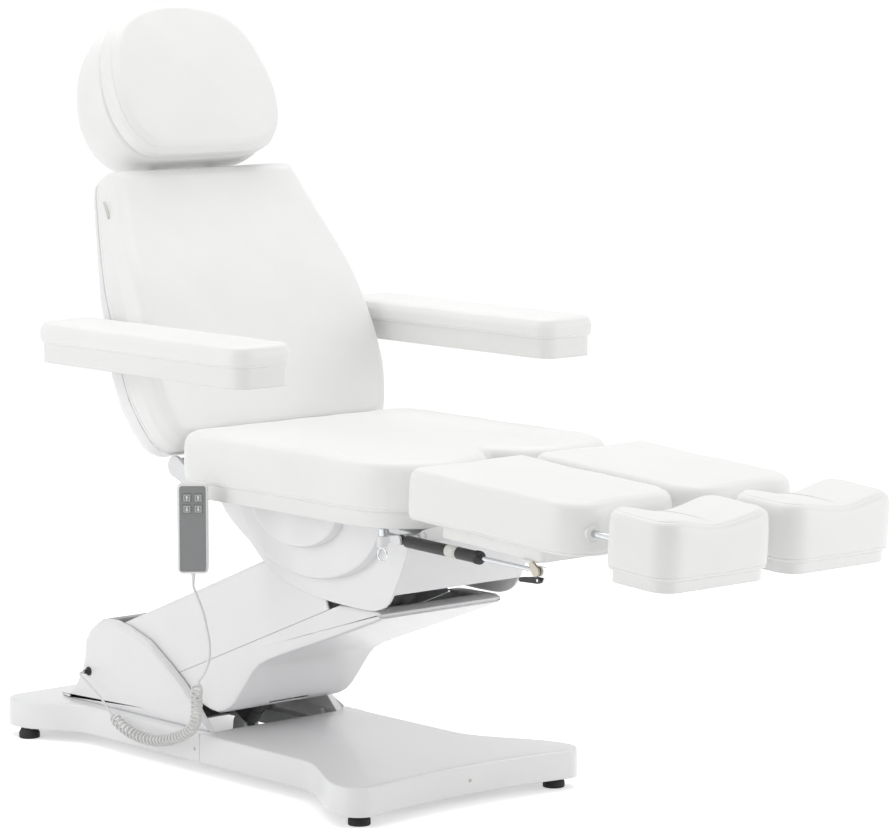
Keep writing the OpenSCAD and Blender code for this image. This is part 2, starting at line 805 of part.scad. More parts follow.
module cheek() {
  deep = cheek_out - cheek_in;
  difference() {
    translate([cheek_in, 0, 0]) rotate([90, 0, 90])
        loft([ring(cheek_plan, 0, 0), ring(cheek_plan, 0, deep - cheek_edge),
      ring(cheek_plan, cheek_edge * 0.3, deep - cheek_edge * 0.3), ring(cheek_plan, cheek_edge, deep)],
      cheek_heart);
    cheek_hollow();
    cross_bar(shaft_d + 2 * gap, cheek_in - over, cheek_in + 2 * cover_t, lift_back, lift_z);
    children();
  }
}
module base_rear_cover() in_chair() color(white_shell) {
  cheek();
  mirror([1, 0, 0]) cheek() cross_bar(grommet_neck, cheek_in + 2 * cover_t, cheek_out + over, grommet_y,
      grommet_z);
  across(-cheek_in - gap, cheek_in + gap) intersection() {
    difference() {
      offset(delta = -fit) polygon(cheek_plan);
      offset(delta = -housing_wall) polygon(cheek_plan);
    }
    patch(rear_rim_y, housing_reach, base_top - cover_t / 3, housing_h);
  }
  difference() {
    translate([0, 0, foot_h + base_lift]) soft_top(base_rear_plan, base_h, base_edge);
    linear_extrude(base_top - cover_t) {
      offset(delta = -cover_t) polygon(base_rear_plan);
      patch(-base_half(0) + cover_t, base_half(0) - cover_t, base_split - over, base_split + base_r);
    }
    block(-cheek_in + gap / 2, cheek_in - gap / 2, base_split - over, housing_reach * 0.95,
        base_top - 2 * cover_t, base_top + cover_t);
    mirrored() block(cheek_in + cover_t, cheek_out - cheek_edge, cheek_open[0], cheek_open[1],
      base_top - 2 * cover_t, base_top + cover_t);
    block(-inlet_w / 2 - gap, inlet_w / 2 + gap, base_rear_reach - base_r, base_rear_reach + over,
      inlet_z - gap, inlet_z + inlet_h + gap);
  }
  for (p = [[(rail_x0 + rail_x1) / 2, base_reach * 0.12], [boss_x, foot_wheelbase / 2]])
    mirrored() translate([p.x, p.y, foot_h + tube_h])
      cylinder(d = boss_d, h = base_h + base_lift - tube_h - cover_t + gap, $fn = small_fn);
}
module control_box() in_chair() color(black_part) {
  z0 = foot_h + cover_t;
  difference() {
    union() {
      block(-box_w / 2, box_w / 2, box_y0, box_y1, z0, z0 + box_h);
      block(-inlet_w / 2, inlet_w / 2, box_y1 - over, base_rear_reach + gap, inlet_z, inlet_z + inlet_h);
    }
    block(-inlet_w / 4, inlet_w / 4, base_rear_reach - inlet_deep, base_rear_reach + 2 * gap,
      inlet_z + cover_t, inlet_z + inlet_h - cover_t);
  }
  for (x = [-1, 0, 1]) block(x * inlet_w / 8 - blade_t / 2, x * inlet_w / 8 + blade_t / 2,
      base_rear_reach - inlet_deep - over,
    base_rear_reach - gap, inlet_z + inlet_h / 2 - blade_w / 2, inlet_z + inlet_h / 2 + blade_w / 2);
}
module cord_grommet() in_chair() color(black_part)
  translate([-cheek_out, grommet_y, grommet_z]) rotate([0, -90, 0]) rotate_extrude($fn = bore_fn)
      polygon([
    [0, -cover_t], [grommet_neck / 2, -cover_t], [grommet_neck / 2, 0], [grommet_d / 2, 0],
    [grommet_d / 2, base_lift], [grommet_neck / 2, base_lift + gap], [cord_d * 0.8, grommet_len],
        [0, grommet_len]
  ]);

// Lift arm
module lift_arm() in_chair() on_arm() color(painted_steel) {
  difference() {
    union() {
      mirrored() {
        across(plate_x0, plate_x1) hull() {
          dot([0, 0], plate_top);
          patch(-plate_to, -plate_foot_from, -plate_foot, 0);
          dot([-arm_len, 0], plate_top);
        }
        cross_bar(hub_d, hub_x0, hub_x1, 0, 0);
        for (y = [-plate_from * 2, -plate_to * 0.85]) {
          cross_bar(pin_d, plate_x0, arm_w / 2 - arm_cover_t, y, -arm_seam / 2);
          cross_bar(pin_d, plate_x0, arm_w / 2 - arm_cover_t, y - plate_from,
              -arm_seam - arm_edge - pin_d);
        }
      }
      cross_bar(shaft_d, -plate_x1, plate_x1, -plate_from * 0.8, -arm_seam / 4);
      cross_bar(shaft_d, -plate_x1, plate_x1, -plate_to, -plate_foot / 2);
      cross_bar(pin_d, -plate_x1, plate_x1, -lift_drive_along, 0);
      cross_bar(shaft_d, -plate_x1, plate_x1, -arm_len, 0);
    }
    cross_bar(shaft_d + 2 * fit, -hub_x1 - over, hub_x1 + over, 0, 0);
  }
}
module arm_upper_cover() in_chair() on_arm() color(white_shell) difference() {
  translate([-arm_w / 2, 0, 0]) rotate([90, 0, 90]) soft_prism(arm_upper_plan, arm_w, arm_edge);
  hollow(arm_upper_plan, arm_w / 2 - arm_cover_t, arm_cover_t, arm_edge);
  across(-arm_w / 2 + arm_cover_t, arm_w / 2 - arm_cover_t)
    patch(-arm_side_end - over, -arm_open, -arm_seam - arm_edge, arm_top + over);
  across(-arm_w / 2 - over, arm_w / 2 + over)
    patch(-arm_side_end - over, arm_top + over, -arm_seam - 2 * arm_edge, -arm_seam + base_seam / 2);
  cross_bar(shaft_d + 2 * gap, -arm_w / 2 - over, arm_w / 2 + over, 0, 0);
}
module arm_lower_cover() in_chair() on_arm() color(white_shell) difference() {
  translate([-arm_w / 2, 0, 0]) rotate([90, 0, 90]) soft_prism(arm_lower_plan, arm_w, arm_edge, arm_lower_heart);
  hollow(arm_lower_plan, arm_w / 2 - arm_cover_t, arm_cover_t, arm_edge);
  across(-arm_w / 2 - over, arm_w / 2 + over)
    patch(-arm_nose, 0, -arm_seam - base_seam / 2, 0);
  block(-slot_half, slot_half, -slot_end, 0, -arm_belly - over, 0);
  block(-nose_open, nose_open, -arm_nose + boss_d, -arm_side_end, -arm_belly * 0.6, 0);
}
module level_link() in_chair() color(painted_steel)
  translate([0, lift_back, lift_z + link_rise]) rotate([-arm_angle, 0, 0]) {
    difference() {
      mirrored() across(link_x0, link_x1) {
        hull() {
          dot([0, 0], link_w / 2);
          dot([-arm_len, 0], link_w / 2);
        }
        dot([0, 0], link_w * 0.6);
        dot([-arm_len, 0], link_w * 0.6);
      }
      for (y = [0, -arm_len]) cross_bar(pin_d + 2 * fit, -link_x1 - over, link_x1 + over, y, 0);
    }
    cross_bar(pin_d, -link_x0, link_x0, -arm_len / 2, 0);
  }

// Linear drives, each drawn from its rear eye along -Y
module drive_body(eye, thick, pin, tube, len, motor, motor_l, rise, rod, head) {
  difference() {
    union() {
      cross_bar(eye, -thick / 2, thick / 2, 0, 0);
      block(-thick / 2, thick / 2, -eye / 2 - head / 2, 0, -eye / 4, eye / 4);
      translate([0, -eye / 2 - head, 0]) rotate([90, 0, 0])
          cylinder(d = tube, h = len - eye / 2 - head, $fn = bore_fn);
      translate([0, -eye / 2, 0]) rotate([90, 0, 0]) linear_extrude(head) hull() {
        dot([0, 0], tube / 2 + gap);
        dot([0, rise], motor / 2);
      }
      translate([0, -eye / 2 - head, rise]) rotate([90, 0, 0])
          cylinder(d = motor - gap, h = motor_l, $fn = bore_fn);
    }
    cross_bar(pin + 2 * fit, -thick, thick, 0, 0);
    translate([0, -eye / 2 - head - gap, 0]) rotate([90, 0, 0])
        cylinder(d = rod + 2 * fit, h = len, $fn = bore_fn);
  }
}
module drive_rod(from, to, rod, eye, thick, hole) {
  difference() {
    union() {
      translate([0, -from, 0]) rotate([90, 0, 0]) cylinder(d = rod, h = to - from, $fn = bore_fn);
      cross_bar(eye, -thick / 2, thick / 2, -to, 0);
    }
    cross_bar(hole, -thick, thick, -to, 0);
  }
}
lift_len = norm(drive_tip - [lift_drive_y, lift_drive_z]);
lift_aim = atan2(drive_tip.y - lift_drive_z, lift_drive_y - drive_tip.x);
module on_lift_drive() { in_chair() translate([0, lift_drive_y, lift_drive_z]) rotate([-lift_aim, 0, 0])
    children(); }
module lift_motor() on_lift_drive() color(black_part)
  drive_body(eye_d, eye_t, pin_d, tube_d, tube_len, motor_d, motor_len, motor_rise, rod_d_lift, head_t);
module lift_rod() on_lift_drive() color(bright_steel)
  drive_rod(tube_len - rod_back, lift_len, rod_d_lift, eye_d + 2 * eye_gap - gap, eye_t,
      pin_d + 2 * eye_gap);

// Carrier
module carrier_bracket() in_chair() color(painted_steel) {
  difference() {
    union() {
      mirrored() {
        across(carrier_x0, carrier_x1) {
          hull() {
            dot([upper_y, upper_z], shaft_d);
            dot([upper_y, upper_z + link_rise], pin_d);
            dot([tilt_y, tilt_z], axle_d);
          }
          hull() {
            dot([upper_y, upper_z], axle_d);
            dot([tilt_anchor_y, tilt_anchor_z], small_eye_d / 2);
          }
        }
        cross_bar(carrier_hub_d, carrier_hub_x0, carrier_hub_x1, upper_y, upper_z);
        cross_bar(tilt_hub_d, tilt_hub_x0, carrier_x1 + gap, tilt_y, tilt_z);
        cross_bar(pin_d, stub_x, carrier_x1, upper_y, upper_z + link_rise);
      }
      cross_bar(small_pin_d, -carrier_x1, carrier_x1, tilt_anchor_y, tilt_anchor_z);
      cross_bar(axle_d - gap * 4, -carrier_x1, carrier_x1, upper_y - shaft_d * 1.5, upper_z - gap * 7);
    }
    cross_bar(shaft_d + 2 * fit, -carrier_hub_x1 - over, carrier_hub_x1 + over, upper_y, upper_z);
    cross_bar(axle_d + 2 * fit, -carrier_x1 - 2 * over, carrier_x1 + 2 * over, tilt_y, tilt_z);
  }
}
tilt_len = norm([tilt_lug_y - tilt_anchor_y, tilt_lug_z - tilt_anchor_z]);
tilt_aim = atan2(tilt_lug_z - tilt_anchor_z, tilt_lug_y - tilt_anchor_y);
module on_tilt_drive() {
  in_chair() translate([tilt_drive_x, tilt_anchor_y, tilt_anchor_z]) rotate([tilt_aim, 0, 0])
      mirror([0, 1, 0]) children();
}
// A small drive with its motor beside it on one side
module small_body(len, side) {
  difference() {
    union() {
      cross_bar(small_eye_d, -small_eye_t / 2, small_eye_t / 2, 0, 0);
      block(-small_eye_t / 2 + gap, small_eye_t / 2 - gap, -small_eye_d / 2 - small_head_t / 2, 0,
          -small_eye_d / 4, small_eye_d / 4);
      translate([0, -small_eye_d / 2 - small_head_t, 0]) rotate([90, 0, 0])
        cylinder(d = small_tube_d, h = len - small_eye_d / 2 - small_head_t, $fn = bore_fn);
      translate([0, -small_eye_d / 2 - gap, 0]) rotate([90, 0, 0]) linear_extrude(small_head_t) hull() {
        dot([0, 0], small_tube_d / 2 + gap);
        dot([side * small_motor_d, 0], small_motor_d / 2);
      }
      translate([side * small_motor_d, -small_eye_d / 2 - small_head_t, 0]) rotate([90, 0, 0])
        cylinder(d = small_motor_d - gap, h = small_motor_len, $fn = bore_fn);
    }
    cross_bar(small_pin_d + 2 * fit, -small_motor_d * 2, small_motor_d * 2, 0, 0);
    translate([0, -small_eye_d, 0]) rotate([90, 0, 0])
        cylinder(d = small_rod_d + 2 * fit, h = len, $fn = bore_fn);
  }
}
module tilt_motor() on_tilt_drive() color(black_part) small_body(tilt_tube_len, 1);
module tilt_rod() on_tilt_drive() color(bright_steel)
  drive_rod(tilt_tube_len - small_back, tilt_len, small_rod_d, small_eye_d, small_eye_t,
      small_pin_d + 2 * tilt_eye_gap);

// Seat
module seat_frame() in_chair() color(painted_steel) {
  top = board_z;
  mirrored() box_tube(seat_rail_x0, seat_rail_x1, rail_front, rail_rear, top - rail_h, top, cover_t);
  mirrored() {
    across(hinge_x0, hinge_x1) hull() {
      patch(rear_bar_y0, rail_rear, top, top + flat_t);
      dot([hinge_y, hinge_z], hinge_r);
    }
    cross_bar(hinge_pin_d, hinge_pin_in, hinge_x1, hinge_y, hinge_z);
  }
  block(-rear_bar_half + gap, rear_bar_half - gap, rear_bar_y0 + gap, rail_rear - gap, top - gap,
      top + flat_t - gap);
  mirrored() across(tilt_lug_x0, seat_rail_x0 + gap) hull() {
    patch(tilt_y - rail_h, tilt_y + rail_h, top - rail_h, top - gap);
    dot([tilt_y, tilt_z], lug_r);
  }
  cross_bar(axle_d, -tilt_lug_x1, tilt_lug_x1, tilt_y, tilt_z);
  block(-front_bar_half, front_bar_half, front_bar_y0, rail_front + gap, top - flat_t, top);
  mirrored() translate([leg_track / 2, swivel_y, top - flat_t - swivel_t - 2 * fit - king_nut_h]) {
    cylinder(d = king_nut_d, h = king_nut_h, $fn = bore_fn);
    cylinder(d = king_d, h = swivel_t + king_nut_h + flat_t, $fn = bore_fn);
  }
  drive_lugs(tilt_drive_x, tilt_lug_y, tilt_lug_z);
  drive_lugs(back_drive_x, back_drive_y, back_drive_z);
}
module drive_lugs(x, y, z) {
  half = small_eye_t / 2 + gap;
  block(-seat_rail_x0 - gap, seat_rail_x0 + gap, y - axle_d, y + axle_d, board_z - rod_d / 2,
      board_z - gap);
  for (side = [-half - pin_d / 2, half]) across(x + side, x + side + pin_d / 2) {
    patch(y - small_eye_d / 2, y + small_eye_d / 2, z, board_z - 2 * gap);
    dot([y, z], small_eye_d / 2);
  }
  cross_bar(small_pin_d, x - half - pin_d / 2, x + half + pin_d / 2, y, z);
}
module seat_board() in_chair() color(white_shell) {
  translate([0, 0, board_z]) linear_extrude(board_t) offset(delta = -board_inset) polygon(seat_plan);
  on_handset() {
    reach = hanger_len + clip_t * 2;
    block(-clip_w * 0.4, clip_w * 0.4, handset_t / 2 + (clip_gap - hanger_t) / 2,
        handset_t / 2 + (clip_gap + hanger_t) / 2,
      clip_w * 0.4, clip_top - clip_t * 3);
    block(-clip_w * 0.4, clip_w * 0.4, handset_t / 2 + (clip_gap - hanger_t) / 2, reach, clip_w * 0.4,
        clip_w * 0.4 + clip_t);
    block(-clip_w * 0.4, clip_w * 0.4, hanger_len, reach, clip_w * 0.4, board_z - handset_z);
  }
}
module seat_cushion() in_chair() color(white_hide)
  translate([0, 0, seat_z]) loft(cushion_rings(seat_plan, seat_thick, seat_edge, seat_crown));
module fan_form(y, r_y, r_z, from, to) {
  plan = arc([y, fan_top], r_y, r_z, 180, 360, 4 * corner_steps);
  difference() {
    translate([from, 0, 0]) rotate([90, 0, 90])
        loft([ring(plan, 0, 0), ring(plan, 0, to - from - form_edge),
      ring(plan, form_edge * 0.3, to - from - form_edge * 0.3), ring(plan, form_edge, to - from)]);
    across(from - over, to - form_edge) offset(delta = -fan_t) polygon(plan);
    across(from - over, to - fan_t) offset(delta = -form_edge - gap) polygon(plan);
    block(from - over, to + over, y - r_y, y + r_y, fan_top - fan_t - form_edge, fan_top + over);
  }
}
module mechanism_cover() in_chair() color(white_shell) difference() {
  union() {
    mirrored() {
      difference() {
        across(fan_in, fan_out) polygon(fan_plan);
        across(fan_in - over, fan_out + over) offset(delta = -fan_t * 4)
          polygon(arc([ring_y, fan_top], ring_r_y, ring_r_z, 180, 360, 4 * corner_steps));
      }
      fan_form(ring_y, ring_r_y, ring_r_z, fan_out - over, ring_out);
      fan_form(disc_y, disc_r_y, disc_r_z, ring_out - fan_t, disc_out);
    }
    across(-fan_in - over, fan_in + over) intersection() {
      difference() {
        polygon(fan_plan);
        offset(delta = -fan_t) polygon(fan_plan);
      }
      patch(fan_front, fan_wall_y, fan_top - fan_depth * 0.8, fan_top);
    }
  }
  block(-fan_out - over, fan_out + over, fan_front - over, fan_cut_y, fan_cut_z, fan_top + over);
}
back_pull = norm([back_drive_y - hinge_y - back_lever_y, back_drive_z - hinge_z - back_lever_z]);
back_lever_aim = atan2(hinge_z + back_lever_z + back_aim - back_drive_z,
    hinge_y + back_lever_y - back_drive_y);
module on_back_drive() {
  in_chair() translate([back_drive_x, back_drive_y, back_drive_z]) rotate([back_lever_aim, 0, 0])
      mirror([0, 1, 0]) children();
}
module back_motor() on_back_drive() color(black_part) small_body(back_tube_len, 1);
module back_rod() on_back_drive() color(bright_steel)
  drive_rod(back_tube_len - small_back, back_pull, small_rod_d, small_eye_d + 2 * back_eye_gap,
      small_eye_t,
    small_pin_d + 2 * back_eye_gap);

// Hand control, its face towards -Y and its length along Z
module handset_case() in_chair() on_handset() color(white_shell) {
  difference() {
    translate([0, handset_t / 2, 0]) rotate([90, 0, 0])
      soft_prism([for (p = round_box(handset_w, handset_h, handset_r, handset_r, 0)) [p.x,
          p.y + handset_h / 2]], handset_t, handset_r * 0.4);
    translate([0, -handset_t / 2 + keypad_t, 0]) rotate([90, 0, 0]) linear_extrude(handset_t)
        offset(r = handset_r / 2, $fn = hull_fn)
      square([handset_w - 2 * keypad_margin - handset_r, handset_h - 2 * keypad_margin - handset_r],
          center = true);
    at_buttons() translate([0, -handset_t / 2, 0])
        cube([button_w + 2 * button_clear, 2 * button_t, button_w + 2 * button_clear], center = true);
  }
  block(-clip_w / 2, clip_w / 2, handset_t / 2 - gap / 2, handset_t / 2 + clip_gap + clip_t,
      clip_top - clip_t, clip_top);
  block(-clip_w / 2, clip_w / 2, handset_t / 2 + clip_gap, handset_t / 2 + clip_gap + clip_t,
      clip_top - clip_len, clip_top);
  translate([0, 0, -handset_h / 2 - relief_len])
      cylinder(d1 = cord_d * 1.4, d2 = relief_d, h = relief_len + gap, $fn = bore_fn);
}
module at_buttons() for (x = [-1, 1], z = [0, 1])
  translate([x * button_step / 2, 0, button_top - button_w / 2 - z * button_step]) children();
module handset_keypad() in_chair() on_handset() color(grey_part) difference() {
  translate([0, -handset_t / 2 + keypad_t, 0]) rotate([90, 0, 0]) linear_extrude(keypad_t + gap / 4)
    offset(r = handset_r / 2 - 2 * fit, $fn = hull_fn)
    square([handset_w - 2 * keypad_margin - handset_r, handset_h - 2 * keypad_margin - handset_r],
        center = true);
  at_buttons() translate([0, -handset_t / 2, 0])
      cube([button_w + 2 * button_clear, 2 * button_t, button_w + 2 * button_clear], center = true);
}
module button(x, z) in_chair() on_handset() color(pale_cord)
  translate([x * button_step / 2 - button_w / 2, -handset_t / 2 - button_out,
      button_top - button_w - z * button_step])
    cube([button_w, button_t, button_w]);

// Back, armrests and headrest
module back_frame() in_chair() on_back() color(painted_steel) difference() {
  union() {
    cross_bar(torque_d, -torque_half, torque_half, 0, 0);
    mirrored() {
      block(back_bar_x - back_bar_w / 2, back_bar_x + back_bar_w / 2, back_face, back_face + back_bar_t,
          0, head_socket_top);
      cross_bar(socket_d, back_bar_x, hub_disc_x0 - hub_t2, pivot_y, pivot_z);
      translate([head_rod_x, head_pivot_y, head_socket_foot])
          cylinder(d = head_socket_d, h = head_socket_top - head_socket_foot, $fn = bore_fn);
    }
    for (z = [head_socket_foot + lever_t * 2, head_socket_top - lever_t * 4])
      block(-back_bar_x, back_bar_x, back_face, back_face + back_bar_t, z, z + lever_t * 3);
    for (side = [-small_eye_t / 2 - gap - lever_t, small_eye_t / 2 + gap])
        across(back_drive_x + side, back_drive_x + side + lever_t) hull() {
      dot([0, 0], torque_d / 2 + gap);
      dot(lever_tip, small_eye_d / 2);
    }
    cross_bar(small_pin_d, back_drive_x - small_eye_t, back_drive_x + small_eye_t, lever_tip.x,
        lever_tip.y);
  }
  mirrored() {
    cross_bar(hinge_pin_d + 2 * fit, hinge_pin_in - gap, torque_half + over, 0, 0);
    cross_bar(hub_pin_d + 2 * fit, hub_pin_in - gap, hub_disc_x0 + over, pivot_y, pivot_z);
    translate([head_rod_x, head_pivot_y, head_socket_foot - over])
      cylinder(d = head_rod_d + 2 * fit, h = head_socket_top - head_socket_foot + 2 * over,
          $fn = bore_fn);
  }
}
hub_t2 = hub_disc_x1 - hub_disc_x0;
lever_tip = [
  back_lever_y * cos(back_lean) - back_lever_z * sin(back_lean),
  back_lever_y * sin(back_lean) + back_lever_z * cos(back_lean)
];
function back_depth(z) = back_deep * lookup((z - back_foot) / back_len, back_deep_shares);
// Rings of the shell: share of its depth and inset
shell_steps_shares = [[0, 0], [0.4, 0.04], [0.7, 0.14], [0.9, 0.32], [0.98, 0.55]];
shell_ends = [0.74, 0.5, 0.25];
function shell_rings(wall) = let (
  rim = 60,
  flat = [for (s = shell_steps_shares) [for (p = inset(back_plan, s.y * rim + wall)) [-p.x,
      back_face + max(-over * sign(wall), s.x * back_depth(p.y) - wall), p.y]]],
  m = middle(back_plan),
  last = inset(back_plan, 0.55 * rim + wall)
) concat(flat, [for (k = shell_ends) [for (p = last) let (q = m + (p - m) * k)
  [-q.x, back_face + back_depth(q.y) - wall, q.y]]]);
module back_shell() in_chair() on_back() color(white_shell) difference() {
  loft(shell_rings(0));
  loft(shell_rings(shell_wall));
  mirrored() {
    cross_bar(socket_d + 2 * gap, back_bar_x, back_w, pivot_y, pivot_z);
    block(head_rod_x - head_socket_d / 2 - gap, head_rod_x + head_socket_d / 2 + gap, back_face - over,
      head_pivot_y + head_socket_d / 2 + gap, head_socket_foot, back_foot + back_len + over);
    block(back_bar_x - back_bar_w / 2 - gap, back_bar_x + back_bar_w / 2 + gap, back_face - over,
        back_face + back_bar_t + gap,
      0, back_foot + back_bar_t);
  }
}
module back_cushion() in_chair() on_back() color(white_hide)
  loft(remap(cushion_rings(back_plan, back_foam, back_edge, back_crown), back_map));
module headrest_rods() in_chair() on_back() color(bright_steel) {
  mirrored() translate([head_rod_x, head_pivot_y, head_rod_foot])
      cylinder(d = head_rod_d, h = head_pivot_z - head_rod_foot, $fn = bore_fn);
  cross_bar(head_bar_d, -head_bar_half, head_bar_half, head_pivot_y, head_pivot_z);
}
module headrest_body() in_chair() on_back() color(white_hide) {
  m = head_foot + head_h / 2;
  difference() {
    loft([for (s = head_rings_shares) [for (p = head_plan)
      [-p.x * s[1], head_y + s[0] * head_deep, m + (p.y - m) * s[2] + s[3] * head_h]]]);
    cross_bar(head_bar_d + 2 * fit, -head_bar_half - gap, head_bar_half + gap, head_pivot_y,
        head_pivot_z);
    mirrored() block(head_rod_x - head_rod_d / 2 - gap * 2, head_rod_x + head_rod_d / 2 + gap * 2,
      head_pivot_y - head_rod_d / 2 - gap, head_deep, head_foot, head_pivot_z);
  }
}
module headrest_cushion() in_chair() on_back() color(white_hide)
  loft(remap(cushion_rings(head_plan, head_foam, seat_edge, armrest_crown * 2), head_map));
module on_armrest(side) {
  in_chair() translate([side * arm_track / 2, armrest_front + armrest_len, armrest_z]) {
    if (side < 0) mirror([1, 0, 0]) children();
    else children();
  }
}
module armrest_hub(side) in_chair() on_back() color(black_part) mirror([side < 0 ? 1 : 0, 0, 0]) {
  cross_bar(hub_disc_d, hub_disc_x0, hub_disc_x1, pivot_y, pivot_z);
  cross_bar(hub_pin_d, hub_pin_in, hub_pin_out, pivot_y, pivot_z);
}
module armrest_board(side) on_armrest(side) color(white_shell) difference() {
  linear_extrude(armrest_board_t) offset(delta = -armrest_inset) polygon(armrest_plan);
  cross_bar(hub_pin_d + 2 * fit, -armrest_w, hub_pin_out - arm_track / 2 + gap,
      hub_y - armrest_front - armrest_len, hub_z - armrest_z);
}
module armrest_pad(side) on_armrest(side) color(white_hide)
  translate([0, 0, armrest_board_t])
      loft(cushion_rings(armrest_plan, armrest_pad_t - armrest_crown, armrest_edge, armrest_crown));

// Leg rests, drawn for the chair's left side and mirrored for its right
module leg_swivel(side) in_chair() at_swivel(side) color(painted_steel) {
  pad = [leg_board_half * 0.6, hinge_lug_r * 3];
  axis_y = swivel_y - leg_hinge_y;
  z1 = board_z - flat_t - fit - leg_hinge_z;
  z0 = z1 - swivel_t;
  difference() {
    union() {
      translate([0, 0, z0]) linear_extrude(swivel_t) {
        hull() {
          dot([0, axis_y], swivel_r);
          patch2(-lug_in[1], lug_in[1], hinge_lug_r + gap * 2, hinge_lug_r * 3);
        }
        patch2(0, gas_lug[1], gas_rear.x + gas_eye_d / 2 + gap * 2, gas_wing);
        hull() {
          dot([plunger_x, plunger_y], plunger_tube_d / 2);
          dot(pad, hinge_lug_r);
        }
      }
      translate([plunger_x, plunger_y, z0 - swivel_t])
          cylinder(d = plunger_tube_d, h = swivel_t * 2, $fn = bore_fn);
      mirrored() across(lug_in[0], lug_in[1]) hull() {
        dot([0, 0], hinge_lug_r);
        patch(hinge_lug_r + gap * 2, hinge_lug_r * 3, z0, z1);
      }
      cross_bar(leg_pin_d, -lug_out[1] - gap * 3, lug_out[1] + gap * 3, 0, 0);
      across(gas_lug[0], gas_lug[1]) hull() {
        dot(gas_rear, gas_eye_d / 2);
        patch(gas_rear.x + gas_eye_d / 2 + gap * 2, gas_wing, z0, z1);
      }
      cross_bar(gas_pin_d, gas_x - gas_eye_t / 2 - gap * 2, gas_lug[1], gas_rear.x, gas_rear.y);
    }
    translate([0, axis_y, z0 - over])
        cylinder(d = king_d + 2 * fit, h = swivel_t + 2 * over, $fn = bore_fn);
    translate([plunger_x, plunger_y, z0 - 2 * swivel_t])
        cylinder(d = plunger_d + 2 * fit, h = 4 * swivel_t, $fn = bore_fn);
  }
}
module leg_board(side) in_chair() on_leg(side) color(white_shell) difference() {
  union() {
    translate([0, 0, leg_rise - leg_board_t]) linear_extrude(leg_board_t)
        offset(r = pin_d, $fn = hull_fn) offset(delta = -pin_d)
      patch2(-leg_board_half, leg_board_half, leg_board_front, leg_board_rear);
    mirrored() {
      across(lug_out[0], lug_out[1]) hull() {
        dot([0, 0], hinge_lug_r - gap);
        patch(leg_board_rear - 3 * hinge_lug_r, leg_board_rear, leg_rise - leg_board_t,
            leg_rise - gap * 4);
      }
      translate([rod_spread, tube_rear, rod_z]) rotate([90, 0, 0])
          cylinder(d = tube_od, h = tube_rear - leg_front, $fn = bore_fn);
      translate([rod_spread, leg_front, rod_z]) rotate([90, 0, 0])
          cylinder(d = escutcheon_d, h = escutcheon_t, $fn = bore_fn);
      block(rod_spread - web_t / 2, rod_spread + web_t / 2, leg_board_front + gap, tube_rear,
          leg_rise - gap, rod_z);
    }
    across(gas_lug[0], gas_lug[1] - over / 4) hull() {
      dot(gas_front, gas_eye_d / 2);
      patch(gas_front.x + gas_eye_d / 2, gas_front.x + gas_eye_d, leg_rise - leg_board_t - gas_foot_t,
          leg_rise - leg_board_t);
    }
    block(leg_board_half - gas_eye_d, gas_lug[1] - over / 4, gas_front.x + gas_eye_d / 2,
        gas_front.x + 2 * gas_eye_d,
      leg_rise - leg_board_t - gas_foot_t, leg_rise - leg_board_t + gap);
  }
  cross_bar(leg_pin_d + 2 * fit, -lug_out[1] - over, lug_out[1] + over, 0, 0);
  mirrored() translate([rod_spread, tube_rear + over, rod_z]) rotate([90, 0, 0])
    cylinder(d = rod_d + 2 * fit, h = tube_rear - leg_front + escutcheon_t + 2 * over, $fn = bore_fn);
}
module patch2(x0, x1, y0, y1) { translate([x0, y0]) square([x1 - x0, y1 - y0]); }
module leg_cushion(side) in_chair() on_leg(side) color(white_hide) difference() {
  translate([0, 0, leg_rise]) loft(cushion_rings(leg_plan, leg_thick, leg_edge, leg_crown));
  mirrored() {
    translate([rod_spread, slot_rear, rod_z]) rotate([90, 0, 0])
      cylinder(d = tube_od + 2 * soft_gap, h = slot_rear - leg_front + over, $fn = small_fn);
    block(rod_spread - web_t / 2 - soft_gap, rod_spread + web_t / 2 + soft_gap, leg_board_front,
        tube_rear + gap, leg_rise - over, rod_z);
  }
}
gas_tip = [
  gas_front.x * cos(leg_pitch) - gas_front.y * sin(leg_pitch),
  gas_front.x * sin(leg_pitch) + gas_front.y * cos(leg_pitch)
];
gas_len = norm(gas_tip - gas_rear);
gas_aim = atan2(gas_rear.y - gas_tip.y, gas_rear.x - gas_tip.x);
module on_gas(side) in_chair() at_swivel(side) translate([gas_x, gas_rear.x, gas_rear.y])
    rotate([gas_aim, 0, 0]) children();
module gas_cylinder(side) on_gas(side) color(black_part) difference() {
  union() {
    cross_bar(gas_eye_d, -gas_eye_t / 2, gas_eye_t / 2, 0, 0);
    translate([0, -gas_eye_d / 2 + gap, 0]) rotate([90, 0, 0])
        cylinder(d = gas_eye_d / 2, h = gas_eye_d / 2, $fn = bore_fn);
    translate([0, -gas_eye_d, 0]) rotate([90, 0, 0])
        cylinder(d = gas_tube_d, h = gas_tube_len - gas_eye_d, $fn = bore_fn);
  }
  cross_bar(gas_pin_d + 2 * fit, -gas_eye_t, gas_eye_t, 0, 0);
  translate([0, -gas_tube_len + gas_rod_back * 1.3, 0]) rotate([90, 0, 0])
      cylinder(d = gas_rod_d + 2 * fit, h = gas_rod_back * 1.4, $fn = bore_fn);
}
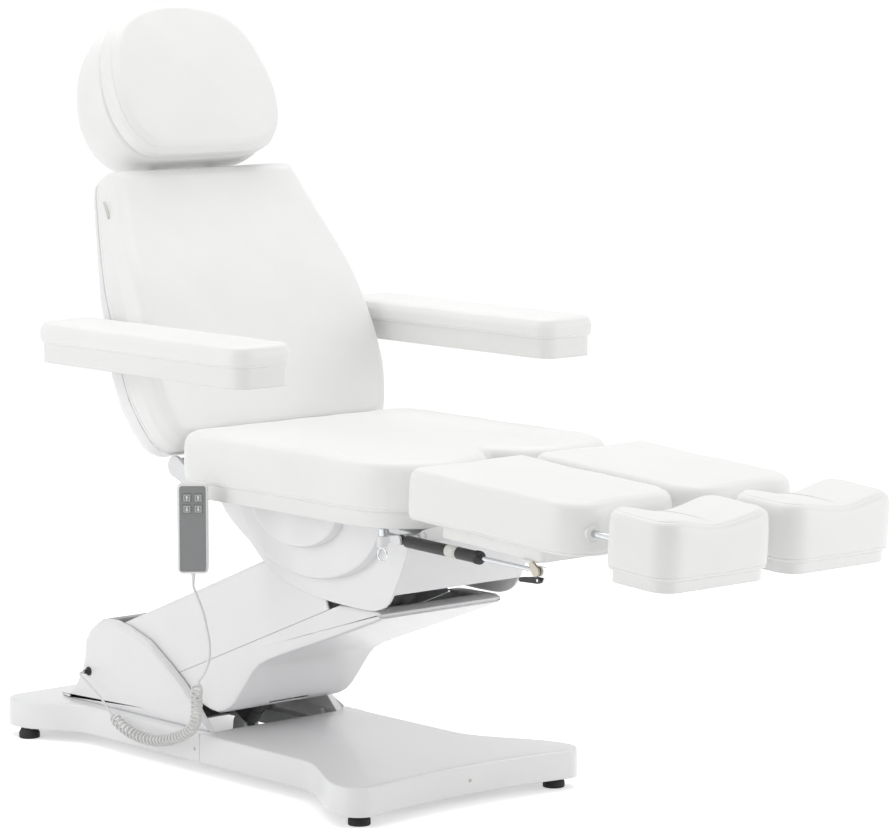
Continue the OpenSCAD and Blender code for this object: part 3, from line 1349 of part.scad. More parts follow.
module gas_rod(side) on_gas(side) color(bright_steel) {
  translate([0, -gas_tube_len + gas_rod_back, 0]) rotate([90, 0, 0])
      cylinder(d = gas_rod_d, h = gas_len - gas_tube_len + gas_rod_back, $fn = bore_fn);
  block(-gas_eye_t / 2, gas_eye_t / 2, -gas_len - gas_head_len / 2, -gas_len + gas_head_len / 2,
      -gas_eye_d / 2, gas_eye_d / 2);
  across(-gas_eye_t, -gas_eye_t / 2) hull() {
    patch(-gas_len - lever_w, -gas_len + lever_w, -gas_rod_d / 2, gas_rod_d / 2);
    dot([-gas_len, -gas_eye_d / 2 - lever_w / 2 - gap], lever_w / 2);
  }
  cross_bar(lever_pin_d, -gas_eye_t, gas_eye_t / 2, -gas_len, -gas_eye_d / 2 - lever_w / 2 - gap);
}
module release_lever(side) on_gas(side) color(black_part) difference() {
  across(-gas_eye_t / 2 + fit, gas_eye_t / 2 - gap / 2) hull() {
    dot([-gas_len, -gas_eye_d / 2 - lever_w / 2 - gap], lever_w / 2);
    dot([-gas_len + lever_len, -gas_eye_d / 2 - lever_w], lever_w / 3);
  }
  cross_bar(lever_pin_d + 2 * fit, -gas_eye_t, gas_eye_t, -gas_len, -gas_eye_d / 2 - lever_w / 2 - gap);
}
module plunger(side) in_chair() at_swivel(side) color(bright_steel)
    translate([plunger_x, plunger_y, board_z - leg_hinge_z - gap]) {
  translate([0, 0, -plunger_h]) cylinder(d = plunger_d, h = plunger_h, $fn = bore_fn);
  translate([0, 0, -plunger_h - ring_d / 2 + ring_wire / 2]) rotate([0, 90, 0])
      rotate_extrude($fn = bore_fn)
    translate([ring_d / 2, 0]) circle(d = ring_wire, $fn = small_fn);
}
module foot_board(side) in_chair() on_leg(side) {
  color(white_shell) translate([0, 0, pad_base]) linear_extrude(pad_board_t)
      offset(delta = -pad_board_inset) polygon(pad_plan);
  color(bright_steel) mirrored() {
    y1 = pad_rear - post_len;
    block(rod_spread - post_w / 2, rod_spread + post_w / 2, y1 - post_len, y1,
        pad_base + pad_board_t - gap, rod_z + post_w / 2);
    translate([rod_spread, rod_inner, rod_z]) rotate([90, 0, 0])
        cylinder(d = rod_d, h = rod_inner - y1 + over, $fn = bore_fn);
  }
}
module foot_cushion(side) in_chair() on_leg(side) color(white_hide) {
  y1 = pad_rear - post_len;
  difference() {
    translate([0, 0, pad_base + pad_board_t])
        loft(remap(cushion_rings(pad_plan, pad_thick, pad_edge, pad_crown), pad_map));
    mirrored() {
      block(rod_spread - post_w / 2 - soft_gap, rod_spread + post_w / 2 + soft_gap,
          y1 - post_len - soft_gap, y1 + soft_gap,
        pad_base, rod_z + post_w / 2 + soft_gap);
      translate([rod_spread, pad_rear + over, rod_z]) rotate([90, 0, 0])
          cylinder(d = rod_d + 2 * soft_gap, h = post_len + 2 * over, $fn = small_fn);
    }
  }
}

// The hand control's cord
curl_line = spline(curl_points, spline_steps);
curl_head = heading(curl_line, 0);
curl_tail = heading(curl_line, len(curl_line) - 1);
curls = curl_path(curl_line, curl_count, (curl_d - cord_d) / 2);
// A lead between two places, straight for a short way at each
function lead(from, from_way, points, to, to_way) = let (
  route = concat([from + from_way * end_straight], points, [to - to_way * end_straight])
) concat([from], evenly(spline(route, spline_steps), lead_step), [to]);
upper_lead = lead(cord_start, [0, 0, -1], upper_lead_points, curl_line[0], curl_head);
lower_lead = lead(curl_line[len(curl_line) - 1], curl_tail, lower_lead_points, cord_end, [1, 0, 0]);
// Least gap between turns, measured on the curls' own points
curl_gap = min([for (i = [0 : len(curls) - 1],
    k = [curl_rings - 2 : curl_rings + 2]) if (i + k < len(curls))
        norm(curls[i + k] - curls[i])]) - cord_d;
echo(least_gap_between_curls = curl_gap);
module tube(path, sides) loft(tube_rings(path, cord_d / 2, sides));
module cord_lower_lead() in_chair() color(pale_cord) tube(lower_lead, lead_sides);
module cord_curls() in_chair() color(pale_cord) tube(curls, curl_sides);
module cord_upper_lead() in_chair() color(pale_cord) tube(upper_lead, lead_sides);

base_frame();
base_front_cover();
base_rear_cover();
levelling_feet();
control_box();
cord_grommet();
lift_arm();
arm_upper_cover();
arm_lower_cover();
level_link();
lift_motor();
lift_rod();
carrier_bracket();
tilt_motor();
tilt_rod();
seat_frame();
seat_board();
seat_cushion();
mechanism_cover();
handset_case();
handset_keypad();
button(1, 0);  // button_up_left
button(-1, 0);  // button_up_right
button(1, 1);  // button_down_left
button(-1, 1);  // button_down_right
back_motor();
back_rod();
back_frame();
back_shell();
back_cushion();
armrest_hub(1);  // armrest_hub_left
armrest_hub(-1);  // armrest_hub_right
armrest_board(1);  // armrest_board_left
armrest_board(-1);  // armrest_board_right
armrest_pad(1);  // armrest_pad_left
armrest_pad(-1);  // armrest_pad_right
headrest_rods();
headrest_body();
headrest_cushion();
leg_swivel(1);  // leg_swivel_left
leg_swivel(-1);  // leg_swivel_right
leg_board(1);  // leg_board_left
leg_board(-1);  // leg_board_right
leg_cushion(1);  // leg_cushion_left
leg_cushion(-1);  // leg_cushion_right
gas_cylinder(1);  // gas_cylinder_left
gas_cylinder(-1);  // gas_cylinder_right
gas_rod(1);  // gas_rod_left
gas_rod(-1);  // gas_rod_right
release_lever(1);  // release_lever_left
release_lever(-1);  // release_lever_right
foot_board(1);  // foot_board_left
foot_board(-1);  // foot_board_right
foot_cushion(1);  // foot_cushion_left
foot_cushion(-1);  // foot_cushion_right
plunger(1);  // plunger_left
plunger(-1);  // plunger_right
cord_lower_lead();
cord_curls();
cord_upper_lead();
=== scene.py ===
"""A powered podiatry chair in white leatherette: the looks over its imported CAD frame.

All lengths are metres in the frame's own axes: +X is the seated person's left, +Y runs from the foot end to
the head, and +Z is up. Each sub-assembly is a class that holds its sizes and dresses or builds its pieces.
"""

import json
import logging
import math
from dataclasses import dataclass
from enum import Enum
from typing import Any, Callable, Optional, Sequence

import bpy
import numpy as np
from mathutils import Matrix, Vector


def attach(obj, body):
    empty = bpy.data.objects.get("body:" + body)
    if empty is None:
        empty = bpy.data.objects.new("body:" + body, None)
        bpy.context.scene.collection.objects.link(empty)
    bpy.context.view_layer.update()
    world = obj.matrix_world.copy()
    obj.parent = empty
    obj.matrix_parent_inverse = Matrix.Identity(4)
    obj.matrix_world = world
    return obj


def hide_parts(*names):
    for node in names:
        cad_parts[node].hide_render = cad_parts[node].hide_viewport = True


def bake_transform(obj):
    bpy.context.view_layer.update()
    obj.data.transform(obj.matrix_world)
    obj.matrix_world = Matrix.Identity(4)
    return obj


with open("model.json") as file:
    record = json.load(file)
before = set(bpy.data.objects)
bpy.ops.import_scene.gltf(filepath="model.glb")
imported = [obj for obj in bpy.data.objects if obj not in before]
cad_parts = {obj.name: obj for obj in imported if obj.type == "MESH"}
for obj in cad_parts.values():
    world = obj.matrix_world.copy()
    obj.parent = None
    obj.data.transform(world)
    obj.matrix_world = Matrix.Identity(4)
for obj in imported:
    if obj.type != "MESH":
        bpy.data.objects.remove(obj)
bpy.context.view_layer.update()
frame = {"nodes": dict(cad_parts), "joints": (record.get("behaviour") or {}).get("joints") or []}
JOINTS = {joint["name"]: joint for joint in frame["joints"]}
log = logging.getLogger("podiatry_chair")

Form = Callable[[np.ndarray], np.ndarray]


class Side(Enum):
    """The two sides of the chair, with the sign of X on each."""

    LEFT = 1
    RIGHT = -1

    def named(self, stem: str) -> str:
        """Returns the stem with this side's name after it."""
        return f"{stem}_{self.name.lower()}"


# Materials


def linear(colour: str) -> tuple[float, float, float, float]:
    """Turns an sRGB hex colour to linear.

    Args:
        colour: six hex digits after a hash sign.
    Returns:
        Linear red, green, blue and an alpha of 1.
    """
    parts = [int(colour[i : i + 2], 16) / 255 for i in (1, 3, 5)]
    red, green, blue = (p / 12.92 if p <= 0.04045 else ((p + 0.055) / 1.055) ** 2.4 for p in parts)
    return red, green, blue, 1.0


def add(
    tree: bpy.types.NodeTree,
    kind: str,
    settings: Optional[dict[str, Any]] = None,
    links: Optional[dict[Any, bpy.types.NodeSocket]] = None,
    family: str = "ShaderNode",
) -> bpy.types.Node:
    """Adds a node.

    Args:
        tree: the material's, world's or modifier's tree.
        kind: the node's type, without its family.
        settings: values by input name or number, or by property name.
        links: output sockets by input name or number.
        family: the prefix of the node's type.
    Returns:
        The new node.
    """
    node = tree.nodes.new(family + kind)
    for key, value in (settings or {}).items():
        if isinstance(key, int) or key in node.inputs:
            node.inputs[key].default_value = value
        else:
            setattr(node, key, value)
    for key, socket in (links or {}).items():
        tree.links.new(socket, node.inputs[key])
    return node


@dataclass(frozen=True)
class Finish:
    """A surface finish: colour, gloss and a fine relief at its real spacing.

    Fields hold the material's name, its sRGB colour, the share by which the colour wavers, metal, roughness,
    index of refraction, the fine relief's spacing and depth, the spread and depth of a wider waviness, a clear
    coat, sheen, whether the fine relief is made of cells, and the radius of its edges.
    """

    name: str
    colour: str
    waver: float = 0.02
    metal: float = 0.0
    rough: float = 0.4
    ior: float = 1.5
    spacing: float = 0.002
    depth: float = 0.00004
    wave: float = 0.06
    wave_depth: float = 0.0
    coat: float = 0.0
    sheen: float = 0.0
    cells: bool = False
    edge: float = 0.0

    def material(self) -> bpy.types.Material:
        """Returns the shared material, making it at the first call."""
        made = bpy.data.materials.get(self.name)
        if made:
            return made
        made = bpy.data.materials.new(self.name)
        made.use_nodes = True
        made.diffuse_color = linear(self.colour)
        tree = made.node_tree
        tree.nodes.clear()
        where = add(tree, "TexCoord").outputs["Object"]
        shader = add(
            tree,
            "BsdfPrincipled",
            {
                "Metallic": self.metal,
                "Coat Weight": self.coat,
                "Coat Roughness": 0.12,
                "Sheen Weight": self.sheen,
            },
            {
                "Base Color": self.tone(tree, where),
                "Roughness": self.gloss(tree, where),
                "Normal": self.relief(tree, where),
            },
        )
        if not self.metal:
            shader.inputs["IOR"].default_value = self.ior
        add(tree, "OutputMaterial", links={"Surface": shader.outputs["BSDF"]})
        return made

    def tone(self, tree: bpy.types.NodeTree, where: bpy.types.NodeSocket) -> bpy.types.NodeSocket:
        """Colour that wavers softly over the piece.

        Args:
            tree: the material's tree.
            where: the object's coordinates.
        Returns:
            The colour socket.
        """
        red, green, blue, _ = linear(self.colour)
        low = 1 - self.waver
        cloud = add(tree, "TexNoise", {"Scale": 9.0, "Detail": 3.0, "Roughness": 0.6}, {"Vector": where})
        ramp = add(tree, "ValToRGB", links={"Fac": cloud.outputs["Fac"]})
        ramp.color_ramp.elements[0].position = 0.3
        ramp.color_ramp.elements[1].position = 0.7
        ramp.color_ramp.elements[0].color = (red * low, green * low, blue * low, 1)
        ramp.color_ramp.elements[1].color = (red, green, blue, 1)
        return ramp.outputs["Color"]

    def gloss(self, tree: bpy.types.NodeTree, where: bpy.types.NodeSocket) -> bpy.types.NodeSocket:
        """Roughness with a slight handled patchiness.

        Args:
            tree: the material's tree.
            where: the object's coordinates.
        Returns:
            The roughness socket.
        """
        cloud = add(tree, "TexNoise", {"Scale": 16.0, "Detail": 4.0}, {"Vector": where})
        spread = add(
            tree,
            "MapRange",
            {"To Min": self.rough * 0.88, "To Max": min(1.0, self.rough * 1.12)},
            {"Value": cloud.outputs["Fac"]},
        )
        return spread.outputs["Result"]

    def relief(self, tree: bpy.types.NodeTree, where: bpy.types.NodeSocket) -> bpy.types.NodeSocket:
        """Fine relief over a wider waviness, with rounded edges.

        Args:
            tree: the material's tree.
            where: the object's coordinates.
        Returns:
            The normal socket.
        """
        kind, output = ("TexVoronoi", "Distance") if self.cells else ("TexNoise", "Fac")
        fine = add(tree, kind, {"Scale": 1 / self.spacing}, {"Vector": where})
        links = {"Height": fine.outputs[output]}
        if self.edge:
            links["Normal"] = add(tree, "Bevel", {"samples": 4, "Radius": self.edge}).outputs["Normal"]
        bump = add(tree, "Bump", {"Strength": 0.5, "Distance": self.depth}, links)
        if not self.wave_depth:
            return bump.outputs["Normal"]
        broad = add(tree, "TexNoise", {"Scale": 1 / self.wave, "Detail": 1.0}, {"Vector": where})
        links = {"Height": broad.outputs["Fac"], "Normal": bump.outputs["Normal"]}
        return add(tree, "Bump", {"Strength": 0.6, "Distance": self.wave_depth}, links).outputs["Normal"]


# Polyurethane-coated upholstery fabric, embossed: a soft broad highlight over a fine pebble. The real pebble is
# about 1 mm, drawn at 2.2 mm so that it shows.
LEATHERETTE = Finish(
    "leatherette_embossed_white",
    "#f1f1f0",
    rough=0.42,
    spacing=0.0022,
    depth=0.00009,
    wave=0.05,
    wave_depth=0.0006,
    sheen=0.06,
    cells=True,
)
# The same cloth pulled tight over plywood, so its pebble is flatter.
BOARD_CLOTH = Finish(
    "leatherette_stapled_white",
    "#eeeeed",
    rough=0.46,
    spacing=0.0022,
    depth=0.00006,
    wave_depth=0.0003,
    cells=True,
    edge=0.003,
)
# Vacuum-formed ABS, painted: a clean gloss with the faintest orange peel, 4 mm apart.
FORMED_ABS = Finish(
    "abs_vacuum_formed_white",
    "#ededee",
    waver=0.015,
    rough=0.3,
    spacing=0.004,
    depth=0.00003,
    wave=0.12,
    wave_depth=0.0002,
    coat=0.15,
    edge=0.002,
)
# Powder coat on welded steel: satin with a tight orange peel.
POWDER_COAT = Finish(
    "steel_powder_coated_white", "#e6e7e8", rough=0.38, spacing=0.0016, depth=0.00006, edge=0.0008
)
# Hard chrome on ground rod: mirror-like, with grinding rings too fine to see drawn 1 mm apart.
HARD_CHROME = Finish(
    "steel_hard_chromed", "#d4d6d9", waver=0.03, metal=1.0, rough=0.12, spacing=0.001, depth=0.000006
)
# Zinc plate, passivated: a duller metal with a warm cast.
ZINC_PLATE = Finish(
    "steel_zinc_plated", "#b9b3a6", waver=0.1, metal=1.0, rough=0.32, spacing=0.0014, depth=0.00002
)
# Moulded natural rubber: black and matt, slightly dusty.
RUBBER = Finish("rubber_moulded_black", "#191919", waver=0.2, rough=0.7, spacing=0.0012, depth=0.00005)
# Stove enamel on the gas spring's tube: black with a clear gloss.
BLACK_ENAMEL = Finish("steel_enamelled_black", "#1b1b1d", waver=0.1, rough=0.28, spacing=0.003, depth=0.00001)
# Glass-filled nylon: black, satin, with a spark-eroded grain about 0.8 mm.
BLACK_NYLON = Finish("nylon_moulded_black", "#1f2022", waver=0.1, rough=0.5, spacing=0.0008, depth=0.00003)
# Screen-printed polyester over the hand control's keys: flat grey.
MEMBRANE = Finish("polyester_membrane_grey", "#8b8c8d", rough=0.45, spacing=0.0012, depth=0.00001)
# The printed marks on the membrane.
PRINT = Finish("ink_screen_printed_white", "#e9eaea", rough=0.5, spacing=0.001, depth=0.00001)
# Injection-moulded ABS of the hand control: white with a fine satin grain.
MOULDED_ABS = Finish("abs_moulded_white", "#ececeb", rough=0.4, spacing=0.0009, depth=0.00003, edge=0.0012)
# Extruded PVC sheath: pale and slightly waxy.
PVC_SHEATH = Finish("pvc_extruded_pale", "#dcdcda", rough=0.42, spacing=0.0015, depth=0.00002, sheen=0.04)
# Coated paper of the blank label: plain and flat.
LABEL = Finish("paper_coated_blank", "#dcdcd6", rough=0.6, spacing=0.001, depth=0.00001)

CAD_FINISHES: dict[str, Finish] = {
    "base_frame": POWDER_COAT,
    "base_front_cover": FORMED_ABS,
    "base_rear_cover": FORMED_ABS,
    "levelling_feet": RUBBER,
    "control_box": BLACK_NYLON,
    "cord_grommet": BLACK_NYLON,
    "lift_arm": POWDER_COAT,
    "arm_upper_cover": FORMED_ABS,
    "arm_lower_cover": FORMED_ABS,
    "level_link": POWDER_COAT,
    "lift_motor": BLACK_NYLON,
    "lift_rod": HARD_CHROME,
    "carrier_bracket": POWDER_COAT,
    "tilt_motor": BLACK_NYLON,
    "tilt_rod": HARD_CHROME,
    "seat_frame": POWDER_COAT,
    "seat_board": BOARD_CLOTH,
    "mechanism_cover": FORMED_ABS,
    "handset_case": MOULDED_ABS,
    "handset_keypad": MEMBRANE,
    "button_up": MEMBRANE,
    "button_down": MEMBRANE,
    "back_motor": BLACK_NYLON,
    "back_rod": HARD_CHROME,
    "back_frame": POWDER_COAT,
    "back_shell": FORMED_ABS,
    "armrest_hub": BLACK_NYLON,
    "armrest_board": BOARD_CLOTH,
    "headrest_rods": HARD_CHROME,
    "leg_swivel": POWDER_COAT,
    "gas_cylinder": BLACK_ENAMEL,
    "gas_rod": HARD_CHROME,
    "release_lever": BLACK_NYLON,
    "plunger": HARD_CHROME,
}

# Shapes


def ease(t: np.ndarray | float) -> np.ndarray | float:
    """Smooth step from 0 to 1."""
    t = np.clip(t, 0, 1)
    return t * t * (3 - 2 * t)


def arc(centre: Sequence[float], radius: float, start: float, stop: float, steps: int = 10) -> list[list[float]]:
    """Points of an arc.

    Args:
        centre: the arc's centre.
        radius: its radius.
        start: first angle in degrees.
        stop: last angle in degrees.
        steps: number of chords.
    Returns:
        The points, first and last included.
    """
    turn = [math.radians(start + (stop - start) * i / steps) for i in range(steps + 1)]
    return [[centre[0] + radius * math.cos(a), centre[1] + radius * math.sin(a)] for a in turn]


def both(half: Sequence[Sequence[float]]) -> list[list[float]]:
    """Closes a half outline with its mirror image across X = 0."""
    return [list(p) for p in half] + [[-x, y] for x, y in reversed(half) if x > 0]


def spline(points: Sequence[Sequence[float]], steps: int, closed: bool = False) -> np.ndarray:
    """A smooth curve through points.

    Args:
        points: the points, in two or three dimensions.
        steps: steps from one point to the next.
        closed: whether the curve runs round.
    Returns:
        The curve's points.
    """
    p = np.array(points, float)
    n = len(p)
    out = []
    for i in range(n if closed else n - 1):
        k = [(i + j) % n if closed else min(n - 1, max(0, i + j)) for j in (-1, 0, 1, 2)]
        a, b, c, d = (p[j] for j in k)
        for t in np.arange(steps) / steps:
            square, cube = 2 * a - 5 * b + 4 * c - d, 3 * b - a - 3 * c + d
            out.append((2 * b + (c - a) * t + square * t**2 + cube * t**3) / 2)
    return np.array(out if closed else out + [p[-1]])


def evenly(line: np.ndarray, step: float, closed: bool = False) -> np.ndarray:
    """Points at an even spacing along a line.

    Args:
        line: the line's points.
        step: the spacing wanted.
        closed: whether the line runs round.
    Returns:
        The new points.
    """
    run = np.vstack([line, line[:1]]) if closed else line
    s = np.concatenate([[0], np.cumsum(np.linalg.norm(np.diff(run, axis=0), axis=1))])
    count = max(3, math.ceil(s[-1] / step))
    at = np.linspace(0, s[-1], count, endpoint=False) if closed else np.linspace(0, s[-1], count + 1)
    return np.stack([np.interp(at, s, run[:, k]) for k in range(run.shape[1])], axis=1)


def inset(plan: np.ndarray, by: float, spread: float = 0.0) -> np.ndarray:
    """Draws an anticlockwise outline in by a distance.

    Args:
        plan: the outline.
        by: the distance.
        spread: the length over which the outline's turns are evened, so that a tight corner doesn't fold.
    Returns:
        The new outline.
    """
    way = np.roll(plan, -1, axis=0) - np.roll(plan, 1, axis=0)
    out = np.stack([way[:, 1], -way[:, 0]], axis=1)
    out /= np.linalg.norm(out, axis=1, keepdims=True)
    if spread:
        step = np.linalg.norm(way, axis=1).mean() / 2
        reach = range(-int(3 * spread / step) - 1, int(3 * spread / step) + 2)
        out = sum(math.exp(-((k * step / spread) ** 2) / 2) * np.roll(out, k, axis=0) for k in reach)
        out /= np.linalg.norm(out, axis=1, keepdims=True)
    return plan - by * out


def round_box(w: float, l: float, front: float, rear: float, pull: float) -> list[list[float]]:
    """A plan with four round corners, from the foot end's left corner round.

    Args:
        w: width.
        l: length, from 0 towards -Y.
        front: radius of the foot end's corners.
        rear: radius of the head end's corners.
        pull: how far each side draws in at its middle.
    Returns:
        The plan's points.
    """
    corners = [
        arc((w / 2 - front, -l + front), front, -90, 0, 6),
        arc((w / 2 - rear, -rear), rear, 0, 90, 6),
        arc((-w / 2 + rear, -rear), rear, 90, 180, 6),
        arc((-w / 2 + front, -l + front), front, 180, 270, 6),
    ]
    out = []
    for i, corner in enumerate(corners):
        a, b = np.array(corner[-1]), np.array(corners[(i + 1) % 4][0])
        way = (b - a) / np.linalg.norm(b - a)
        out += corner
        out += [
            list(a + (b - a) * t - np.array([way[1], -way[0]]) * pull * 4 * t * (1 - t))
            for t in (0.25, 0.5, 0.75)
        ]
    return out


def mesh_piece(
    name: str, verts: np.ndarray, faces: list, finish: Finish, body: str, smooth: bool = True
) -> bpy.types.Object:
    """Makes a mesh piece that rides on a body.

    Args:
        name: the piece's name.
        verts: its vertices in the frame.
        faces: its faces.
        finish: its finish.
        body: the CAD body that carries it, or nothing to leave it on no body.
        smooth: whether it is shaded smooth.
    Returns:
        The object.
    """
    mesh = bpy.data.meshes.new(name)
    mesh.from_pydata([tuple(v) for v in verts], [], faces)
    mesh.polygons.foreach_set("use_smooth", [smooth] * len(mesh.polygons))
    mesh.materials.append(finish.material())
    mesh.update()
    obj = bpy.data.objects.new(name, mesh)
    bpy.context.scene.collection.objects.link(obj)
    if body:
        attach(obj, body)
    return obj


def loft(rings: np.ndarray) -> tuple[np.ndarray, list]:
    """A closed skin through rings of one count, with a fan at each end.

    Args:
        rings: an array of rings, points and coordinates.
    Returns:
        Vertices and faces.
    """
    m, n, _ = rings.shape
    verts = np.vstack([rings.reshape(-1, 3), rings[0].mean(0), rings[-1].mean(0)])
    faces = [
        (j * n + i, j * n + (i + 1) % n, (j + 1) * n + (i + 1) % n, (j + 1) * n + i)
        for j in range(m - 1)
        for i in range(n)
    ]
    faces += [((i + 1) % n, i, m * n) for i in range(n)]
    faces += [((m - 1) * n + i, (m - 1) * n + (i + 1) % n, m * n + 1) for i in range(n)]
    return verts, faces


def tube_rings(path: np.ndarray, radius: float | np.ndarray, sides: int) -> np.ndarray:
    """Rings of a tube carried along a path without twist.

    Args:
        path: the path's points.
        radius: one radius, or one for each point.
        sides: points to a ring.
    Returns:
        The rings.
    """
    way = np.gradient(path, axis=0)
    way /= np.linalg.norm(way, axis=1, keepdims=True)
    first = np.cross(way[0], [1.0, 0.1, 0.0])
    across = [first / np.linalg.norm(first)]
    for d in way[1:]:
        e = across[-1] - across[-1].dot(d) * d
        across.append(e / np.linalg.norm(e))
    e = np.array(across)
    f = np.cross(way, e)
    a = np.linspace(0, 2 * math.pi, sides, endpoint=False)
    r = np.broadcast_to(np.asarray(radius, float), (len(path),))[:, None, None]
    return path[:, None] + r * (e[:, None] * np.cos(a)[None, :, None] + f[:, None] * np.sin(a)[None, :, None])


def placed(points: np.ndarray, place: Matrix) -> np.ndarray:
    """Moves points of any array shape by a matrix."""
    m = np.array(place)
    return points @ m[:3, :3].T + m[:3, 3]


def turned(profile: Sequence[tuple[float, float]], place: Matrix, sides: int = 40) -> tuple[np.ndarray, list]:
    """A turned part about its own Z.

    Args:
        profile: radius and height pairs, from foot to head.
        place: where it goes.
        sides: points to a ring.
    Returns:
        Vertices and faces.
    """
    a = np.linspace(0, 2 * math.pi, sides, endpoint=False)
    rings = np.array([[[r * math.cos(t), r * math.sin(t), z] for t in a] for r, z in profile])
    return loft(placed(rings, place))


def joint_at(name: str) -> Vector:
    """Returns where a joint of the frame lies."""
    return Vector(JOINTS[name]["pos_m"])


def pitched(at: Vector, degrees: float, side: int = 1) -> Matrix:
    """A place turned about X, and mirrored for the right side.

    Args:
        at: the origin.
        degrees: the turn about X.
        side: 1, or -1 to mirror X.
    Returns:
        The matrix.
    """
    turn = Matrix.Rotation(math.radians(degrees), 4, "X")
    return Matrix.Translation(at) @ Matrix.Diagonal((side, 1, 1, 1)) @ turn


# Turns about X at rest, in degrees
BACK_LEAN = -26.0
LEG_PITCH = 3.0
# How near a CAD mesh's vertices are joined, and the angle from which its edges stay sharp, in degrees
MERGE_WITHIN = 0.00001
SHARP_ANGLE = 33.0


def on_back() -> Matrix:
    """Returns the back's own place, at its hinge."""
    return pitched(joint_at("recline"), BACK_LEAN)



def on_leg(side: Side) -> Matrix:
    """Returns a leg rest's own place, at its hinge."""
    return pitched(joint_at(side.named("leg_pitch")), LEG_PITCH, side.value)


def joined_up() -> bpy.types.NodeTree:
    """Returns the modifier's tree that joins a CAD mesh's faces and smooths all but its real edges."""
    made = bpy.data.node_groups.get("joined_up")
    if made:
        return made
    tree = bpy.data.node_groups.new("joined_up", "GeometryNodeTree")
    for way in ("INPUT", "OUTPUT"):
        tree.interface.new_socket("Geometry", in_out=way, socket_type="NodeSocketGeometry")
    start = add(tree, "GroupInput", family="Node")
    merged = add(tree, "MergeByDistance", {"Distance": MERGE_WITHIN}, {0: start.outputs[0]}, "GeometryNode")
    plain = add(tree, "RemoveAttribute", {"Name": "custom_normal"}, {0: merged.outputs[0]}, "GeometryNode")
    smooth = add(tree, "SetShadeSmooth", {"domain": "FACE"}, {0: plain.outputs[0]}, "GeometryNode")
    angle = add(tree, "InputMeshEdgeAngle", family="GeometryNode")
    below = {"operation": "LESS_THAN", 1: math.radians(SHARP_ANGLE)}
    flat = add(tree, "Compare", below, {0: angle.outputs[0]}, "FunctionNode")
    links = {0: smooth.outputs[0], 2: flat.outputs[0]}
    kept = add(tree, "SetShadeSmooth", {"domain": "EDGE"}, links, "GeometryNode")
    add(tree, "GroupOutput", links={0: kept.outputs[0]}, family="Node")
    return tree


def dress(node: str, finish: Finish, others: Sequence[tuple[Finish, Callable[[Vector], bool]]] = ()) -> None:
    """Gives a CAD node its finish, and some of its faces another.

    Args:
        node: the CAD node.
        finish: its finish.
        others: further finishes, each with a test of a face's centre.
    """
    obj = frame["nodes"][node]
    obj.data.materials.clear()
    for one in (finish, *(other for other, _ in others)):
        obj.data.materials.append(one.material())
    for face in obj.data.polygons:
        face.material_index = next((i for i, (_, test) in enumerate(others, 1) if test(face.center)), 0)
    obj.modifiers.new("joined_up", "NODES").node_group = joined_up()
    weighted = obj.modifiers.new("weighted_normals", "WEIGHTED_NORMAL")
    weighted.keep_sharp = True

def dressed(*nodes: str) -> None:
    """Gives each CAD node the finish that is listed for it, whatever its side."""
    for node in nodes:
        dress(node, CAD_FINISHES[node.removesuffix("_left").removesuffix("_right")])


# Upholstery


